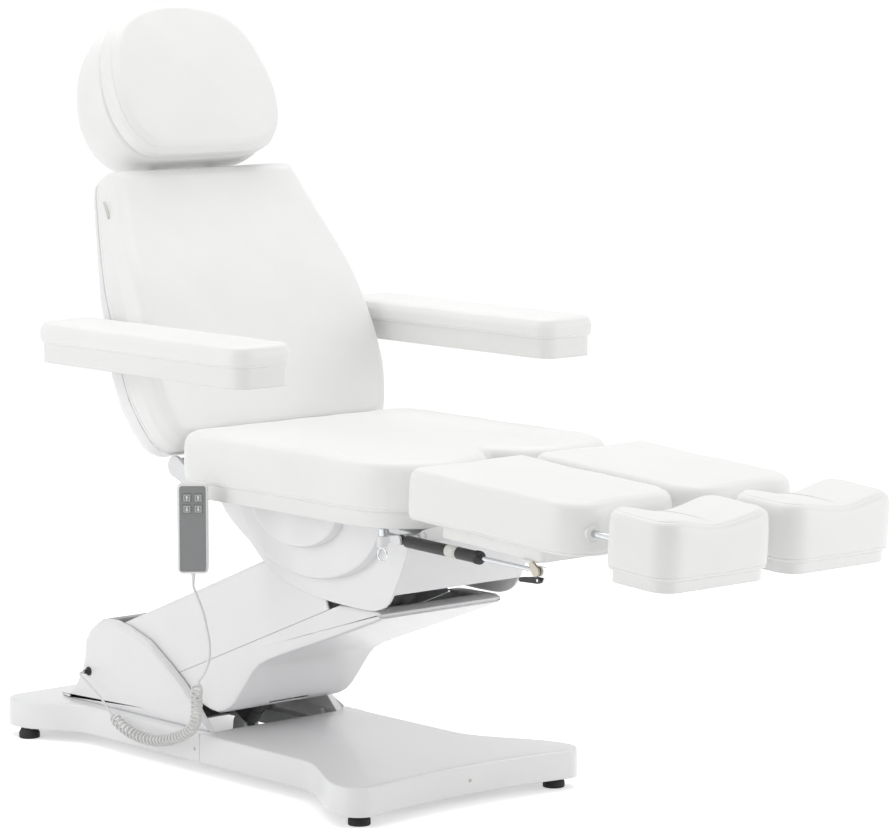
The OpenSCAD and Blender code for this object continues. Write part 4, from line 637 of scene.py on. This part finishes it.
@dataclass
class Cushion:
    """A crowned closed cushion over a plan, drawn in at its foot and rounded at its edge.

    Fields hold the CAD node it stands for, its body, the plan, its thickness, edge and crown, where it goes, a
    reshaping of its local points, heights of sewn seams as shares of the side, its fill (not used), its points'
    spacing, the seams' size, how the top evens out to an oval, and the foam's unevenness.
    """

    node: str
    body: str
    plan: Sequence[Sequence[float]]
    thick: float
    edge: float
    crown: float
    place: Matrix
    reshape: Optional[Form] = None
    seams: Sequence[float] = ()
    fill: float = 0.8
    step: float = 0.009
    tuck: float = 0.25
    seam_width: float = 0.0009
    seam_depth: float = 0.0016
    even_share: float = 0.8
    oval_share: float = 0.96
    top_rings: int = 22
    uneven: float = 0.0007

    def profile(self) -> np.ndarray:
        """Returns the side's inset and height from the foot to the top's rim, with its sewn seams drawn in."""
        e, h = self.edge, self.thick
        foot = [(e * self.tuck * 1.5, 0), (e * self.tuck, e * 0.08), (e * 0.05, e * 0.5)]
        side = spline([*foot, (0, h * 0.5), (e * 0.1, h - e), (e * 0.42, h - e * 0.35), (e, h)], 8)
        heights = set(side[:, 1].tolist())
        for share in self.seams:
            heights |= {share * h + k * self.seam_width for k in (-2, -1, -0.5, 0, 0.5, 1, 2)}
        z = np.array(sorted(t for t in heights if 0 <= t <= h))
        d = np.interp(z, side[:, 1], side[:, 0])
        for share in self.seams:
            d += self.seam_depth * np.exp(-(((z - share * h) / self.seam_width) ** 2))
        return np.column_stack([d, z])

    def rings(self) -> np.ndarray:
        """Returns the cushion's rings in its own axes, the plan easing to an oval towards its middle."""
        plan = evenly(np.array(self.plan), self.step, closed=True)
        even = self.edge * self.even_share
        rows = [np.column_stack([inset(plan, d, even), np.full(len(plan), z)]) for d, z in self.profile()]
        top = inset(plan, self.edge, even)
        middle, half = (top.max(0) + top.min(0)) / 2, (top.max(0) - top.min(0)) / 2
        way = (top - middle) / half
        oval = middle + half * self.oval_share * way / np.linalg.norm(way, axis=1, keepdims=True)
        for s in np.linspace(0.97, 0.03, self.top_rings):
            shape = oval + (top - oval) * ease(s)
            z = self.thick + self.crown * (1 - s * s)
            rows.append(np.column_stack([middle + (shape - middle) * s, np.full(len(top), z)]))
        return np.array(rows)

    def soften(self, points: np.ndarray) -> np.ndarray:
        """Adds the slight unevenness of foam under a stretched cover."""
        x, y, z = (points[..., k] for k in range(3))
        lift = np.sin(x * 31 + 1.3) * np.sin(y * 27 + 0.4) + 0.5 * np.sin(x * 57 + y * 43)
        out = points.copy()
        out[..., 2] += self.uneven * lift * ease(z / self.thick)
        return out

    def build(self) -> None:
        points = self.soften(self.rings())
        if self.reshape:
            points = self.reshape(points)
        verts, faces = loft(placed(points, self.place))
        if self.place.determinant() < 0:
            faces = [tuple(reversed(f)) for f in faces]
        obj = mesh_piece(f"{self.node}_cover", verts, faces, LEATHERETTE, self.body)
        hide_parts(self.node)


@dataclass
class Seat:
    """The seat: a cushion with two round lobes, its board and frame, and the cover under them."""

    width: float = 0.590
    lobe: float = 0.147
    notch: float = 0.018
    corner: float = 0.060
    thick: float = 0.092
    edge: float = 0.020
    crown: float = 0.012
    pull: float = 0.003
    swivel_y: float = -0.165
    rear_y: float = 0.350
    foot_z: float = 0.590

    def plan(self) -> list[list[float]]:
        """Returns the seat's outline from the notch between the lobes round."""
        lobe_x = self.width / 2 - self.lobe
        notch_y = self.swivel_y - math.sqrt((self.lobe + self.notch) ** 2 - lobe_x**2)
        turn = math.degrees(math.atan2(self.swivel_y - notch_y, lobe_x))
        x1, y1 = self.width / 2, self.rear_y - self.corner
        half = arc((0, notch_y), self.notch, 90, turn, 4)
        half += arc((lobe_x, self.swivel_y), self.lobe, turn - 180, 0, 14)
        for t in (0.25, 0.5, 0.75):
            half.append([x1 - self.pull * 4 * t * (1 - t), self.swivel_y + (y1 - self.swivel_y) * t])
        half += arc((x1 - self.corner, y1), self.corner, 0, 90, 6)
        half += [[(x1 - self.corner) / 2, self.rear_y], [0, self.rear_y]]
        return both(half)

    def build(self) -> None:
        """Builds the cushion and dresses the seat's CAD nodes."""
        place = Matrix.Translation((0, 0, self.foot_z))
        form = (self.thick, self.edge, self.crown)
        Cushion("seat_cushion", "seat", self.plan(), *form, place, seams=(0.06,)).build()
        dressed("seat_board", "seat_frame", "mechanism_cover")


@dataclass
class Back:
    """The backrest: cushion, shell, frame, and the blank pull tab at its seam."""

    foot: float = 0.022
    length: float = 0.570
    width: float = 0.594
    face: float = -0.008
    foam: float = 0.068
    bulge: float = 0.030
    high: float = 0.285
    swell: float = 0.270
    edge: float = 0.026
    crown: float = 0.008
    sides: Sequence[tuple[float, float]] = (
        (0, 0), (0.4, 0), (0.8, 0), (0.875, 0.018), (0.925, 0.05), (0.965, 0.11), (1, 0.205), (0.996, 0.32),
        (0.967, 0.461), (0.94, 0.6), (0.875, 0.765), (0.82, 0.88), (0.79, 0.94), (0.755, 0.98), (0.7, 1),
        (0.35, 1), (0, 1),
    )
    # The tab's half width, height and thickness
    tab_size: tuple[float, float, float] = (0.004, 0.036, 0.0008)
    # Its place as shares of half the width, of the foam and of the length
    tab_at: tuple[float, float, float] = (0.845, 0.62, 0.86)

    def plan(self) -> list[list[float]]:
        """Returns the back's outline as seen from the seat."""
        half = [(x * self.width / 2, self.foot + z * self.length) for x, z in self.sides]
        return spline(both(half), 5, closed=True).tolist()

    def reshape(self, p: np.ndarray) -> np.ndarray:
        """Stands the cushion up and swells it towards the small of the back."""
        swell = 1 + self.bulge / self.foam * ease(1 - np.abs(p[..., 1] - self.high) / self.swell)
        return np.stack([p[..., 0], self.face - p[..., 2] * swell, p[..., 1]], axis=-1)

    def build(self) -> None:
        """Builds the cushion and dresses the back's CAD nodes."""
        form = (self.foam, self.edge, self.crown)
        Cushion("back_cushion", "back", self.plan(), *form, on_back(), self.reshape, (0.1,), tuck=0.06).build()
        dressed("back_frame", "back_shell", "back_motor", "back_rod")
        self.tab()

    def tab(self) -> None:
        """The blank sewn tab on the right side of the back, near its top."""
        w, h, t = self.tab_size
        wide, deep, high = self.tab_at
        x, y, z = -self.width / 2 * wide, self.face - self.foam * deep, self.foot + self.length * high
        section = ((0, 0), (2 * w, 0), (2 * w, t), (0, t))
        rings = np.array([
            [[x - w * (1 - abs(k) * 0.2) + dx, y + dy, z + k * h / 2] for dx, dy in section]
            for k in (-1, -0.6, 0.6, 1)
        ])
        verts, faces = loft(placed(rings, on_back()))
        mesh_piece("back_seam_tab", verts, faces, LABEL, "back")


@dataclass
class Headrest:
    """The headrest: a pillow on a deep padded body, on two chromed rods."""

    foot: float = 0.602
    width: float = 0.400
    height: float = 0.320
    face: float = -0.070
    foam: float = 0.050
    deep: float = 0.147
    edge: float = 0.018
    crown: float = 0.006
    sides: Sequence[tuple[float, float]] = (
        (0, 0), (0.35, 0), (0.66, 0.012), (0.82, 0.07), (0.945, 0.19), (1, 0.37), (0.965, 0.56), (0.865, 0.745),
        (0.72, 0.865), (0.5, 0.95), (0.25, 0.99), (0, 1),
    )
    # Rings of the body: share of its depth, its width, its height and its rise
    body: Sequence[tuple[float, float, float, float]] = (
        (0, 0.9, 0.94, 0), (0.03, 0.96, 0.975, 0), (0.1, 0.99, 0.99, -0.003), (0.3, 1.01, 0.975, -0.008),
        (0.5, 1, 0.93, -0.02), (0.68, 0.955, 0.86, -0.033), (0.82, 0.88, 0.75, -0.042),
        (0.93, 0.75, 0.6, -0.048), (1, 0.52, 0.4, -0.05),
    )

    def plan(self) -> list[list[float]]:
        """Returns the pillow's outline."""
        half = [(x * self.width / 2, self.foot + z * self.height) for x, z in self.sides]
        return spline(both(half), 5, closed=True).tolist()

    def reshape(self, p: np.ndarray) -> np.ndarray:
        """Stands the pillow up in front of its body."""
        return np.stack([p[..., 0], self.face - p[..., 2], p[..., 1]], axis=-1)

    def build(self) -> None:
        """Builds the pillow and its body, and dresses the rods."""
        form = (self.foam, self.edge, self.crown)
        Cushion(
            "headrest_cushion", "headrest", self.plan(), *form, on_back(), self.reshape,
            seams=(0.12, 0.8), fill=0.9, step=0.006,
        ).build()
        plan = evenly(np.array(self.plan()), 0.007, closed=True)
        rows = spline(self.body, 5)
        middle = self.foot + self.height / 2
        x, z = plan[:, 0], plan[:, 1] - middle
        rings = np.array([
            np.column_stack([
                -x * w, np.full(len(x), self.face + d * self.deep), middle + z * h + up * self.height,
            ])
            for d, w, h, up in rows
        ])
        verts, faces = loft(placed(rings, on_back()))
        obj = mesh_piece("headrest_body_cover", verts, faces, LEATHERETTE, "headrest")
        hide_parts("headrest_body")
        dressed("headrest_rods")


@dataclass
class Armrest:
    """One armrest: a pad on a board, on its hub at the back's side."""

    side: Side
    width: float = 0.140
    length: float = 0.630
    track: float = 0.748
    rear_y: float = 0.585
    foot_z: float = 0.843
    thick: float = 0.039
    corner: float = 0.038
    edge: float = 0.013
    crown: float = 0.003

    def build(self) -> None:
        """Builds the pad and dresses the board and hub."""
        name = self.side.named
        place = Matrix.Translation((self.side.value * self.track / 2, self.rear_y, self.foot_z))
        plan = round_box(self.width, self.length, self.corner, self.corner, 0.0)
        form = (self.thick, self.edge, self.crown)
        Cushion(name("armrest_pad"), name("armrest"), plan, *form, place, seams=(0.1,), step=0.007).build()
        dressed(name("armrest_board"), name("armrest_hub"))


@dataclass
class LegRest:
    """One leg rest: cushion, board, swivel, gas spring, and the foot pad on its rods."""

    side: Side
    width: float = 0.276
    length: float = 0.432
    rear: float = -0.031
    rise: float = 0.044
    thick: float = 0.094
    nose: float = 0.070
    tail: float = 0.016
    taper: float = 0.012
    pad_width: float = 0.268
    pad_length: float = 0.164
    pad_gap: float = 0.058
    pad_foot: float = 0.042
    pad_thick: float = 0.104
    pad_corner: float = 0.044
    valley: float = 0.016
    rod_x: float = 0.090
    rod_z: float = 0.087
    tube: float = 0.022
    label: tuple[float, float] = (0.128, 0.156)
    mouth: float = 0.215
    edge: float = 0.018
    crown: float = 0.009
    pad_edge: float = 0.017
    pad_crown: float = 0.004
    seam: float = 0.0007
    seam_in: float = 0.012
    # Bounds that tell the rods' and the lug's faces from the boards'
    rod_reach: float = 0.0075
    slack: float = 0.001
    lug_x: float = 0.07
    board: float = 0.0305

    @property
    def pad_rear(self) -> float:
        """Where the foot pad's rear edge lies."""
        return self.rear - self.length - self.pad_gap

    def leg_plan(self) -> list[list[float]]:
        """Returns the leg cushion's outline, narrower at the foot end."""
        plan = round_box(self.width, self.length, self.nose, self.tail, 0.003)
        return [
            [x - (self.taper * x / self.width * -y / self.length if x > 0 else 0), y + self.rear]
            for x, y in plan
        ]

    def pad_plan(self) -> list[list[float]]:
        """Returns the foot pad's outline."""
        plan = round_box(self.pad_width, self.pad_length, self.pad_corner, self.pad_corner, 0.0)
        return [[x, y + self.pad_rear] for x, y in plan]

    def dip(self, p: np.ndarray) -> np.ndarray:
        """Lowers the foot pad's top along its middle."""
        out = p.copy()
        low = self.valley * p[..., 2] / self.pad_thick
        out[..., 2] -= low * (1 - ease(np.abs(p[..., 0]) / (self.pad_width * 0.42)))
        return out

    def build(self) -> None:
        """Builds both cushions and dresses the leg's CAD nodes."""
        name, place = self.side.named, on_leg(self.side)
        lifted = place @ Matrix.Translation((0, 0, self.rise))
        form = (self.thick, self.edge, self.crown)
        Cushion(name("leg_cushion"), name("leg"), self.leg_plan(), *form, lifted, seams=(0.06,)).build()
        lifted = place @ Matrix.Translation((0, 0, self.pad_foot))
        form, seams = (self.pad_thick, self.pad_edge, self.pad_crown), (0.07, 0.965)
        Cushion(
            name("foot_cushion"), name("foot_pad"), self.pad_plan(), *form, lifted, self.dip, seams, step=0.006
        ).build()
        dressed(*map(name, ("leg_swivel", "gas_cylinder", "gas_rod", "release_lever", "plunger")))
        dress(name("leg_board"), BOARD_CLOTH, [(ZINC_PLATE, self.is_lug)])
        dress(name("foot_board"), BOARD_CLOTH, [(HARD_CHROME, self.is_rod)])
        self.gas_label()
        self.pad_seam()

    def is_rod(self, at: Vector) -> bool:
        """Whether a face of the foot board's node is on one of its two rods."""
        p = on_leg(self.side).inverted() @ at
        off = math.hypot(abs(p.x) - self.rod_x, p.z - self.rod_z)
        return p.y > self.pad_rear - self.slack and off < self.rod_reach

    def is_lug(self, at: Vector) -> bool:
        """Whether a face of the leg board's node is on the gas spring's lug."""
        p = on_leg(self.side).inverted() @ at
        return p.x > self.lug_x and p.z < self.rise - self.board

    def gas_place(self) -> Matrix:
        """Returns the gas spring's place, its own -Y along its rod."""
        start = joint_at(self.side.named("gas_cylinder_swing"))
        way = Vector(JOINTS[self.side.named("gas_rod_slide")]["axis"]).normalized()
        turn = math.atan2(-way.z, -way.y)
        return Matrix.Translation(start) @ Matrix.Rotation(turn, 4, "X")

    def gas_label(self) -> None:
        """The blank label round the gas spring and the collar at its mouth."""
        name, r = self.side.named, self.tube / 2
        a, b = self.label
        turn = self.gas_place() @ Matrix.Rotation(math.pi / 2, 4, "X")
        verts, faces = turned([(r, a), (r + 0.0003, a), (r + 0.0003, b), (r, b)], turn)
        mesh_piece(name("gas_label"), verts, faces, LABEL, name("gas_cylinder"))
        end, lip, bore = self.mouth, r + 0.0012, 0.0045
        rows = [(bore, end - 0.014), (r, end - 0.014), (lip, end - 0.012), (lip, end - 0.002), (r - 0.002, end)]
        verts, faces = turned([*rows, (bore, end + 0.001)], turn)
        mesh_piece(name("gas_collar"), verts, faces, BLACK_NYLON, name("gas_cylinder"))

    def pad_seam(self) -> None:
        """The sewn seam along the valley of the foot pad."""
        rear, half = self.pad_rear, self.pad_length / 2
        y = np.linspace(rear - self.pad_length + self.seam_in, rear - self.seam_in, 24)
        rise = self.pad_crown * (1 - ((y - rear + half) / (half - self.pad_edge)).clip(-1, 1) ** 2)
        z = self.pad_foot + self.pad_thick - self.valley + rise * 0.9
        z[[0, -1]] -= 0.002
        line = np.column_stack([np.full_like(y, 0.004), y, z])
        verts, faces = loft(placed(tube_rings(line, self.seam, 8), on_leg(self.side)))
        mesh_piece(self.side.named("foot_pad_seam"), verts, faces, PVC_SHEATH, self.side.named("foot_pad"))


# Base and arm


@dataclass
class Base:
    """The base: covers with their screws, levelling feet, control box and cord grommet."""

    # Where each screw sits and which way its head faces
    screws: Sequence[tuple[tuple[float, float, float], tuple[float, float, float]]] = (
        ((-0.194, 0.415, 0.046), (-1, 0, 0)),
        ((0.194, 0.415, 0.046), (1, 0, 0)),
        ((0.012, -0.1565, 0.048), (0, -1, 0)),
    )
    # A button head with a socket, as radius and height over the cover
    head: Sequence[tuple[float, float]] = (
        (0.0036, -0.001), (0.0036, 0.0005), (0.0029, 0.0011),
        (0.0015, 0.0012), (0.0014, 0.0003), (0.0003, 0.0003),
    )

    def build(self) -> None:
        """Dresses the base's CAD nodes and adds the screws."""
        for number, (at, way) in enumerate(self.screws, 1):
            place = Matrix.Translation(at) @ Vector(way).to_track_quat("Z", "Y").to_matrix().to_4x4()
            mesh_piece(f"base_screw_{number}", *turned(self.head, place, 20), ZINC_PLATE, "base")
        dressed("base_frame", "levelling_feet", "control_box", "cord_grommet")
        dressed("base_front_cover", "base_rear_cover")


@dataclass
class LiftArm:
    """The lift arm with its covers, link, drive and carrier."""

    def build(self) -> None:
        """Dresses the arm's CAD nodes."""
        dressed("lift_arm", "level_link", "lift_motor", "lift_rod", "carrier_bracket", "tilt_motor", "tilt_rod")
        dressed("arm_upper_cover", "arm_lower_cover")


# Hand control


@dataclass
class HandControl:
    """The hand control on its hanger, with its keys' printed marks."""

    at: tuple[float, float, float] = (-0.338, 0.228, 0.515)
    turn: float = -40.0
    thick: float = 0.024
    key: float = 0.015
    step: float = 0.021
    top: float = 0.066
    proud: float = 0.0016
    ink: float = 0.00012
    margin: float = 0.0018
    line: float = 0.0007
    # An upward arrow: its head's three points, then its shaft's four
    arrow: Sequence[tuple[float, float]] = (
        (0, 0.0042), (-0.0030, 0.0008), (0.0030, 0.0008),
        (0.0011, 0.0008), (-0.0011, 0.0008), (-0.0011, -0.0040), (0.0011, -0.0040),
    )

    def place(self) -> Matrix:
        """Returns the hand control's place, its face towards its own -Y."""
        return Matrix.Translation(self.at) @ Matrix.Rotation(math.radians(self.turn), 4, "Z")

    def build(self) -> None:
        """Dresses the hand control and prints its keys."""
        dressed("handset_case", "handset_keypad")
        for row, name in enumerate(("up", "down")):
            for column, side in ((1, "left"), (-1, "right")):
                node = f"button_{name}_{side}"
                dressed(node)
                self.mark(node, column, row)

    def mark(self, node: str, column: int, row: int) -> None:
        """Prints a frame and an arrow on a key.

        Args:
            node: the key's node and body.
            column: 1 for the left column, -1 for the right.
            row: 0 for the upper row.
        """
        x0, z0 = column * self.step / 2, self.top - self.key / 2 - row * self.step
        y = -self.thick / 2 - self.proud - self.ink
        h, w = self.key / 2 - self.margin, self.line
        outer = np.array([(h, h), (-h, h), (-h, -h), (h, -h)])
        rows = [(x, z) for p in (outer, outer * (h - w) / h) for x, z in p]
        way = -1 if row else 1
        rows += [(x, way * z) for x, z in self.arrow]
        pts = np.array([(x0 + x, y, z0 + z) for x, z in rows])
        faces = [(i, (i + 1) % 4, 4 + (i + 1) % 4, 4 + i) for i in range(4)] + [(8, 9, 10), (11, 12, 13, 14)]
        mesh_piece(f"{node}_print", placed(pts, self.place()), faces, PRINT, node, smooth=False)


@dataclass
class HandCord:
    """The hand control's cord: a lead, its curls and the lead to the housing.

    The route's points are the part's own, given in metres from the base's middle along Y.
    """

    diameter: float = 0.0046
    over_curls: float = 0.024
    curls: int = 36
    straight: float = 0.006
    ramp: float = 1.3
    base_y: float = 0.380
    start: tuple[float, float, float] = (-0.338, -0.152, 0.414)
    end: tuple[float, float, float] = (-0.184, 0.408, 0.142)
    upper: Sequence[tuple[float, float, float]] = (
        (-0.338, -0.152, 0.404), (-0.337, -0.164, 0.384), (-0.334, -0.176, 0.358), (-0.330, -0.181, 0.330),
        (-0.323, -0.181, 0.296), (-0.311, -0.163, 0.262), (-0.297, -0.130, 0.231),
    )
    middle: Sequence[tuple[float, float, float]] = (
        (-0.285, -0.098, 0.208), (-0.273, -0.074, 0.178), (-0.259, -0.056, 0.140), (-0.246, -0.028, 0.106),
        (-0.234, 0.030, 0.076), (-0.223, 0.110, 0.054), (-0.217, 0.180, 0.050), (-0.214, 0.240, 0.060),
        (-0.211, 0.285, 0.082),
    )
    lower: Sequence[tuple[float, float, float]] = (
        (-0.208, 0.308, 0.097), (-0.206, 0.334, 0.112), (-0.205, 0.362, 0.126), (-0.203, 0.388, 0.137),
        (-0.198, 0.403, 0.141),
    )

    def lead(
        self, a: Sequence[float], a_way: np.ndarray, points: Sequence, b: Sequence[float], b_way: np.ndarray
    ) -> np.ndarray:
        """A lead between two places, straight for a short way at each.

        Args:
            a: the first place.
            a_way: the way it leaves.
            points: the points between.
            b: the last place.
            b_way: the way it arrives.
        Returns:
            The lead's points.
        """
        a, b = np.array(a), np.array(b)
        route = [a + a_way * self.straight, *points, b - b_way * self.straight]
        line = evenly(spline(route, 6), 0.004)
        return np.vstack([a, a + a_way * self.straight / 2, line, b - b_way * self.straight / 2, b])

    def curl_path(self, line: np.ndarray, per_turn: int = 24) -> np.ndarray:
        """The curls round their middle line, drawn in at both ends.

        Args:
            line: the middle line.
            per_turn: points to a turn.
        Returns:
            The curls' points.
        """
        s = np.concatenate([[0], np.cumsum(np.linalg.norm(np.diff(line, axis=0), axis=1))])

        def at(x: np.ndarray | float) -> np.ndarray:
            """Returns the middle line's points at lengths along it."""
            return np.stack([np.interp(x, s, line[:, k]) for k in range(3)], axis=-1)

        steps = self.curls * per_turn
        i = np.arange(steps + 1)
        here = self.straight + (s[-1] - 2 * self.straight) * i / steps
        way = at(np.minimum(s[-1], here + self.straight)) - at(np.maximum(0, here - self.straight))
        way /= np.linalg.norm(way, axis=1, keepdims=True)
        u = np.cross(way, [1.0, 0.0, 0.0])
        u /= np.linalg.norm(u, axis=1, keepdims=True)
        v = np.cross(way, u)
        grown = (self.over_curls - self.diameter) / 2 * ease(np.minimum(i, steps - i) / (self.ramp * per_turn))
        a = 2 * math.pi * i / per_turn
        turns = at(here) + grown[:, None] * (u * np.cos(a)[:, None] + v * np.sin(a)[:, None])
        return np.vstack([at(0.0), turns, at(s[-1])])

    def tube(self, name: str, path: np.ndarray, bodies: tuple[str, str], span: tuple, node: str) -> None:
        """Builds one length of the cord.

        Args:
            name: the piece's name.
            path: its centreline.
            bodies: not used.
            span: not used.
            node: the CAD node that it stands for.
        """
        path = path + np.array([0, self.base_y, 0])
        verts, faces = loft(tube_rings(path, self.diameter / 2, 14))
        obj = mesh_piece(name, verts, faces, PVC_SHEATH, "")
        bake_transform(obj)
        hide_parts(node)

    def build(self) -> None:
        """Builds the three lengths of the cord."""
        line = spline(self.middle, 6)
        head, tail = line[1] - line[0], line[-1] - line[-2]
        head, tail = head / np.linalg.norm(head), tail / np.linalg.norm(tail)
        down, inward = np.array([0, 0, -1.0]), np.array([1.0, 0, 0])
        upper = self.lead(self.start, down, self.upper, line[0], head)
        lower = self.lead(line[-1], tail, self.lower, self.end, inward)
        shift = np.array([0, self.base_y, 0])
        for name, path, ends, bodies, node in (
            ("cord_upper", upper, upper, ("seat", "carrier"), "cord_upper_lead"),
            ("cord_curled", self.curl_path(line), line, ("carrier", "lift_arm"), "cord_curls"),
            ("cord_lower", lower, lower, ("lift_arm", "base"), "cord_lower_lead"),
        ):
            self.tube(name, path, bodies, (ends[0] + shift, ends[-1] + shift), node)


# Studio


@dataclass(frozen=True)
class PhotoCamera:
    """The photograph's camera, fitted to the chair's long parallel edges."""

    focal: float = 4025.27
    frame_width: float = 893.0
    sensor: float = 36.0
    azimuth: float = -41.2837
    down: float = 7.237
    at: tuple[float, float, float] = (-4.8747, -5.655, 1.6706)
    reach: float = 60.0

    def build(self) -> None:
        """Sets the camera at the photograph's viewpoint."""
        a, p = math.radians(self.azimuth), math.radians(self.down)
        ahead = Vector((-math.sin(a) * math.cos(p), math.cos(a) * math.cos(p), -math.sin(p)))
        right = Vector((math.cos(a), math.sin(a), 0))
        up = right.cross(ahead)
        data = bpy.data.cameras.new("photo_camera")
        data.sensor_width = self.sensor
        data.lens = self.focal * self.sensor / self.frame_width
        data.clip_end = self.reach
        cam = bpy.data.objects.new("photo_camera", data)
        cam.matrix_world = Matrix.Translation(self.at) @ Matrix((right, up, -ahead)).transposed().to_4x4()
        bpy.context.scene.collection.objects.link(cam)
        bpy.context.scene.camera = cam


@dataclass(frozen=True)
class Lamp:
    """A soft square lamp, aimed at the chair's middle."""

    name: str
    at: tuple[float, float, float]
    size: float
    watts: float
    aim: tuple[float, float, float] = (0.0, 0.0, 0.6)

    def build(self) -> None:
        """Adds the lamp."""
        data = bpy.data.lights.new(self.name, "AREA")
        data.size = self.size
        data.energy = self.watts
        obj = bpy.data.objects.new(self.name, data)
        obj.location = self.at
        obj.rotation_euler = (Vector(self.aim) - Vector(self.at)).to_track_quat("-Z", "Y").to_euler()
        bpy.context.scene.collection.objects.link(obj)


@dataclass(frozen=True)
class Studio:
    """A white room: pale floor, even sky and soft lamps from both sides and above."""

    floor: float = 90.0
    drop: float = 0.0004
    glow: float = 0.5
    sky: float = 0.54
    lamps: tuple[Lamp, ...] = (
        Lamp("lamp_above", (0.4, 0.8, 4.2), 3.6, 70),
        Lamp("lamp_left_of_view", (-4.2, 1.2, 1.9), 2.8, 52),
        Lamp("lamp_right_of_view", (2.6, -4.2, 1.9), 2.6, 62),
    )

    def build(self) -> None:
        """Builds the room, its lamps and the view settings."""
        scene = bpy.context.scene
        scene.view_settings.view_transform = "Standard"
        self.sky_world(scene)
        self.floor_piece()
        for lamp in self.lamps:
            lamp.build()

    def seen(self, tree: bpy.types.NodeTree) -> bpy.types.NodeSocket:
        """Returns 1 for rays that see the backdrop: from the camera, a gloss or glass."""
        path = add(tree, "LightPath")
        found = path.outputs["Is Camera Ray"]
        for ray in ("Is Glossy Ray", "Is Transmission Ray"):
            found = add(tree, "Math", {"operation": "MAXIMUM"}, {0: found, 1: path.outputs[ray]}).outputs[0]
        return found

    def sky_world(self, scene: bpy.types.Scene) -> None:
        """An even sky that shows white where it is seen.

        Args:
            scene: the scene that gets it.
        """
        world = bpy.data.worlds.new("white_room")
        world.use_nodes = True
        tree = world.node_tree
        tree.nodes.clear()
        light = add(tree, "Background", {"Color": (1, 1, 1, 1), "Strength": self.sky})
        white = add(tree, "Background", {"Color": (1, 1, 1, 1), "Strength": 1.0})
        mix = add(tree, "MixShader", links={0: self.seen(tree), 1: light.outputs[0], 2: white.outputs[0]})
        add(tree, "OutputWorld", links={"Surface": mix.outputs[0]})
        scene.world = world

    def floor_piece(self) -> None:
        """A wide pale floor that reads white and keeps the chair's shadow."""
        h, z = self.floor, -self.drop
        mesh = bpy.data.meshes.new("floor")
        mesh.from_pydata([(-h, -h, z), (h, -h, z), (h, h, z), (-h, h, z)], [], [(0, 1, 2, 3)])
        made = bpy.data.materials.new("studio_floor")
        made.use_nodes = True
        tree = made.node_tree
        tree.nodes.clear()
        matt = add(tree, "BsdfDiffuse", {"Color": linear("#fbfbfb")})
        glow = add(tree, "Emission", {"Color": (1, 1, 1, 1), "Strength": self.glow})
        both_lit = add(tree, "AddShader", links={0: matt.outputs[0], 1: glow.outputs[0]})
        mix = add(tree, "MixShader", links={0: self.seen(tree), 1: matt.outputs[0], 2: both_lit.outputs[0]})
        add(tree, "OutputMaterial", links={"Surface": mix.outputs[0]})
        mesh.materials.append(made)
        obj = bpy.data.objects.new("floor", mesh)
        bpy.context.scene.collection.objects.link(obj)


def main() -> None:
    """Builds the camera, the cord, each sub-assembly and the studio."""
    logging.basicConfig(level=logging.INFO, format="%(name)s: %(message)s")
    parts = [PhotoCamera(), HandCord(), Base(), LiftArm(), Seat(), Back(), Headrest(), HandControl()]
    parts += [Armrest(side) for side in Side] + [LegRest(side) for side in Side] + [Studio()]
    for part in parts:
        part.build()
        log.info("built %s", type(part).__name__)


if __name__ == "__main__":
    main()
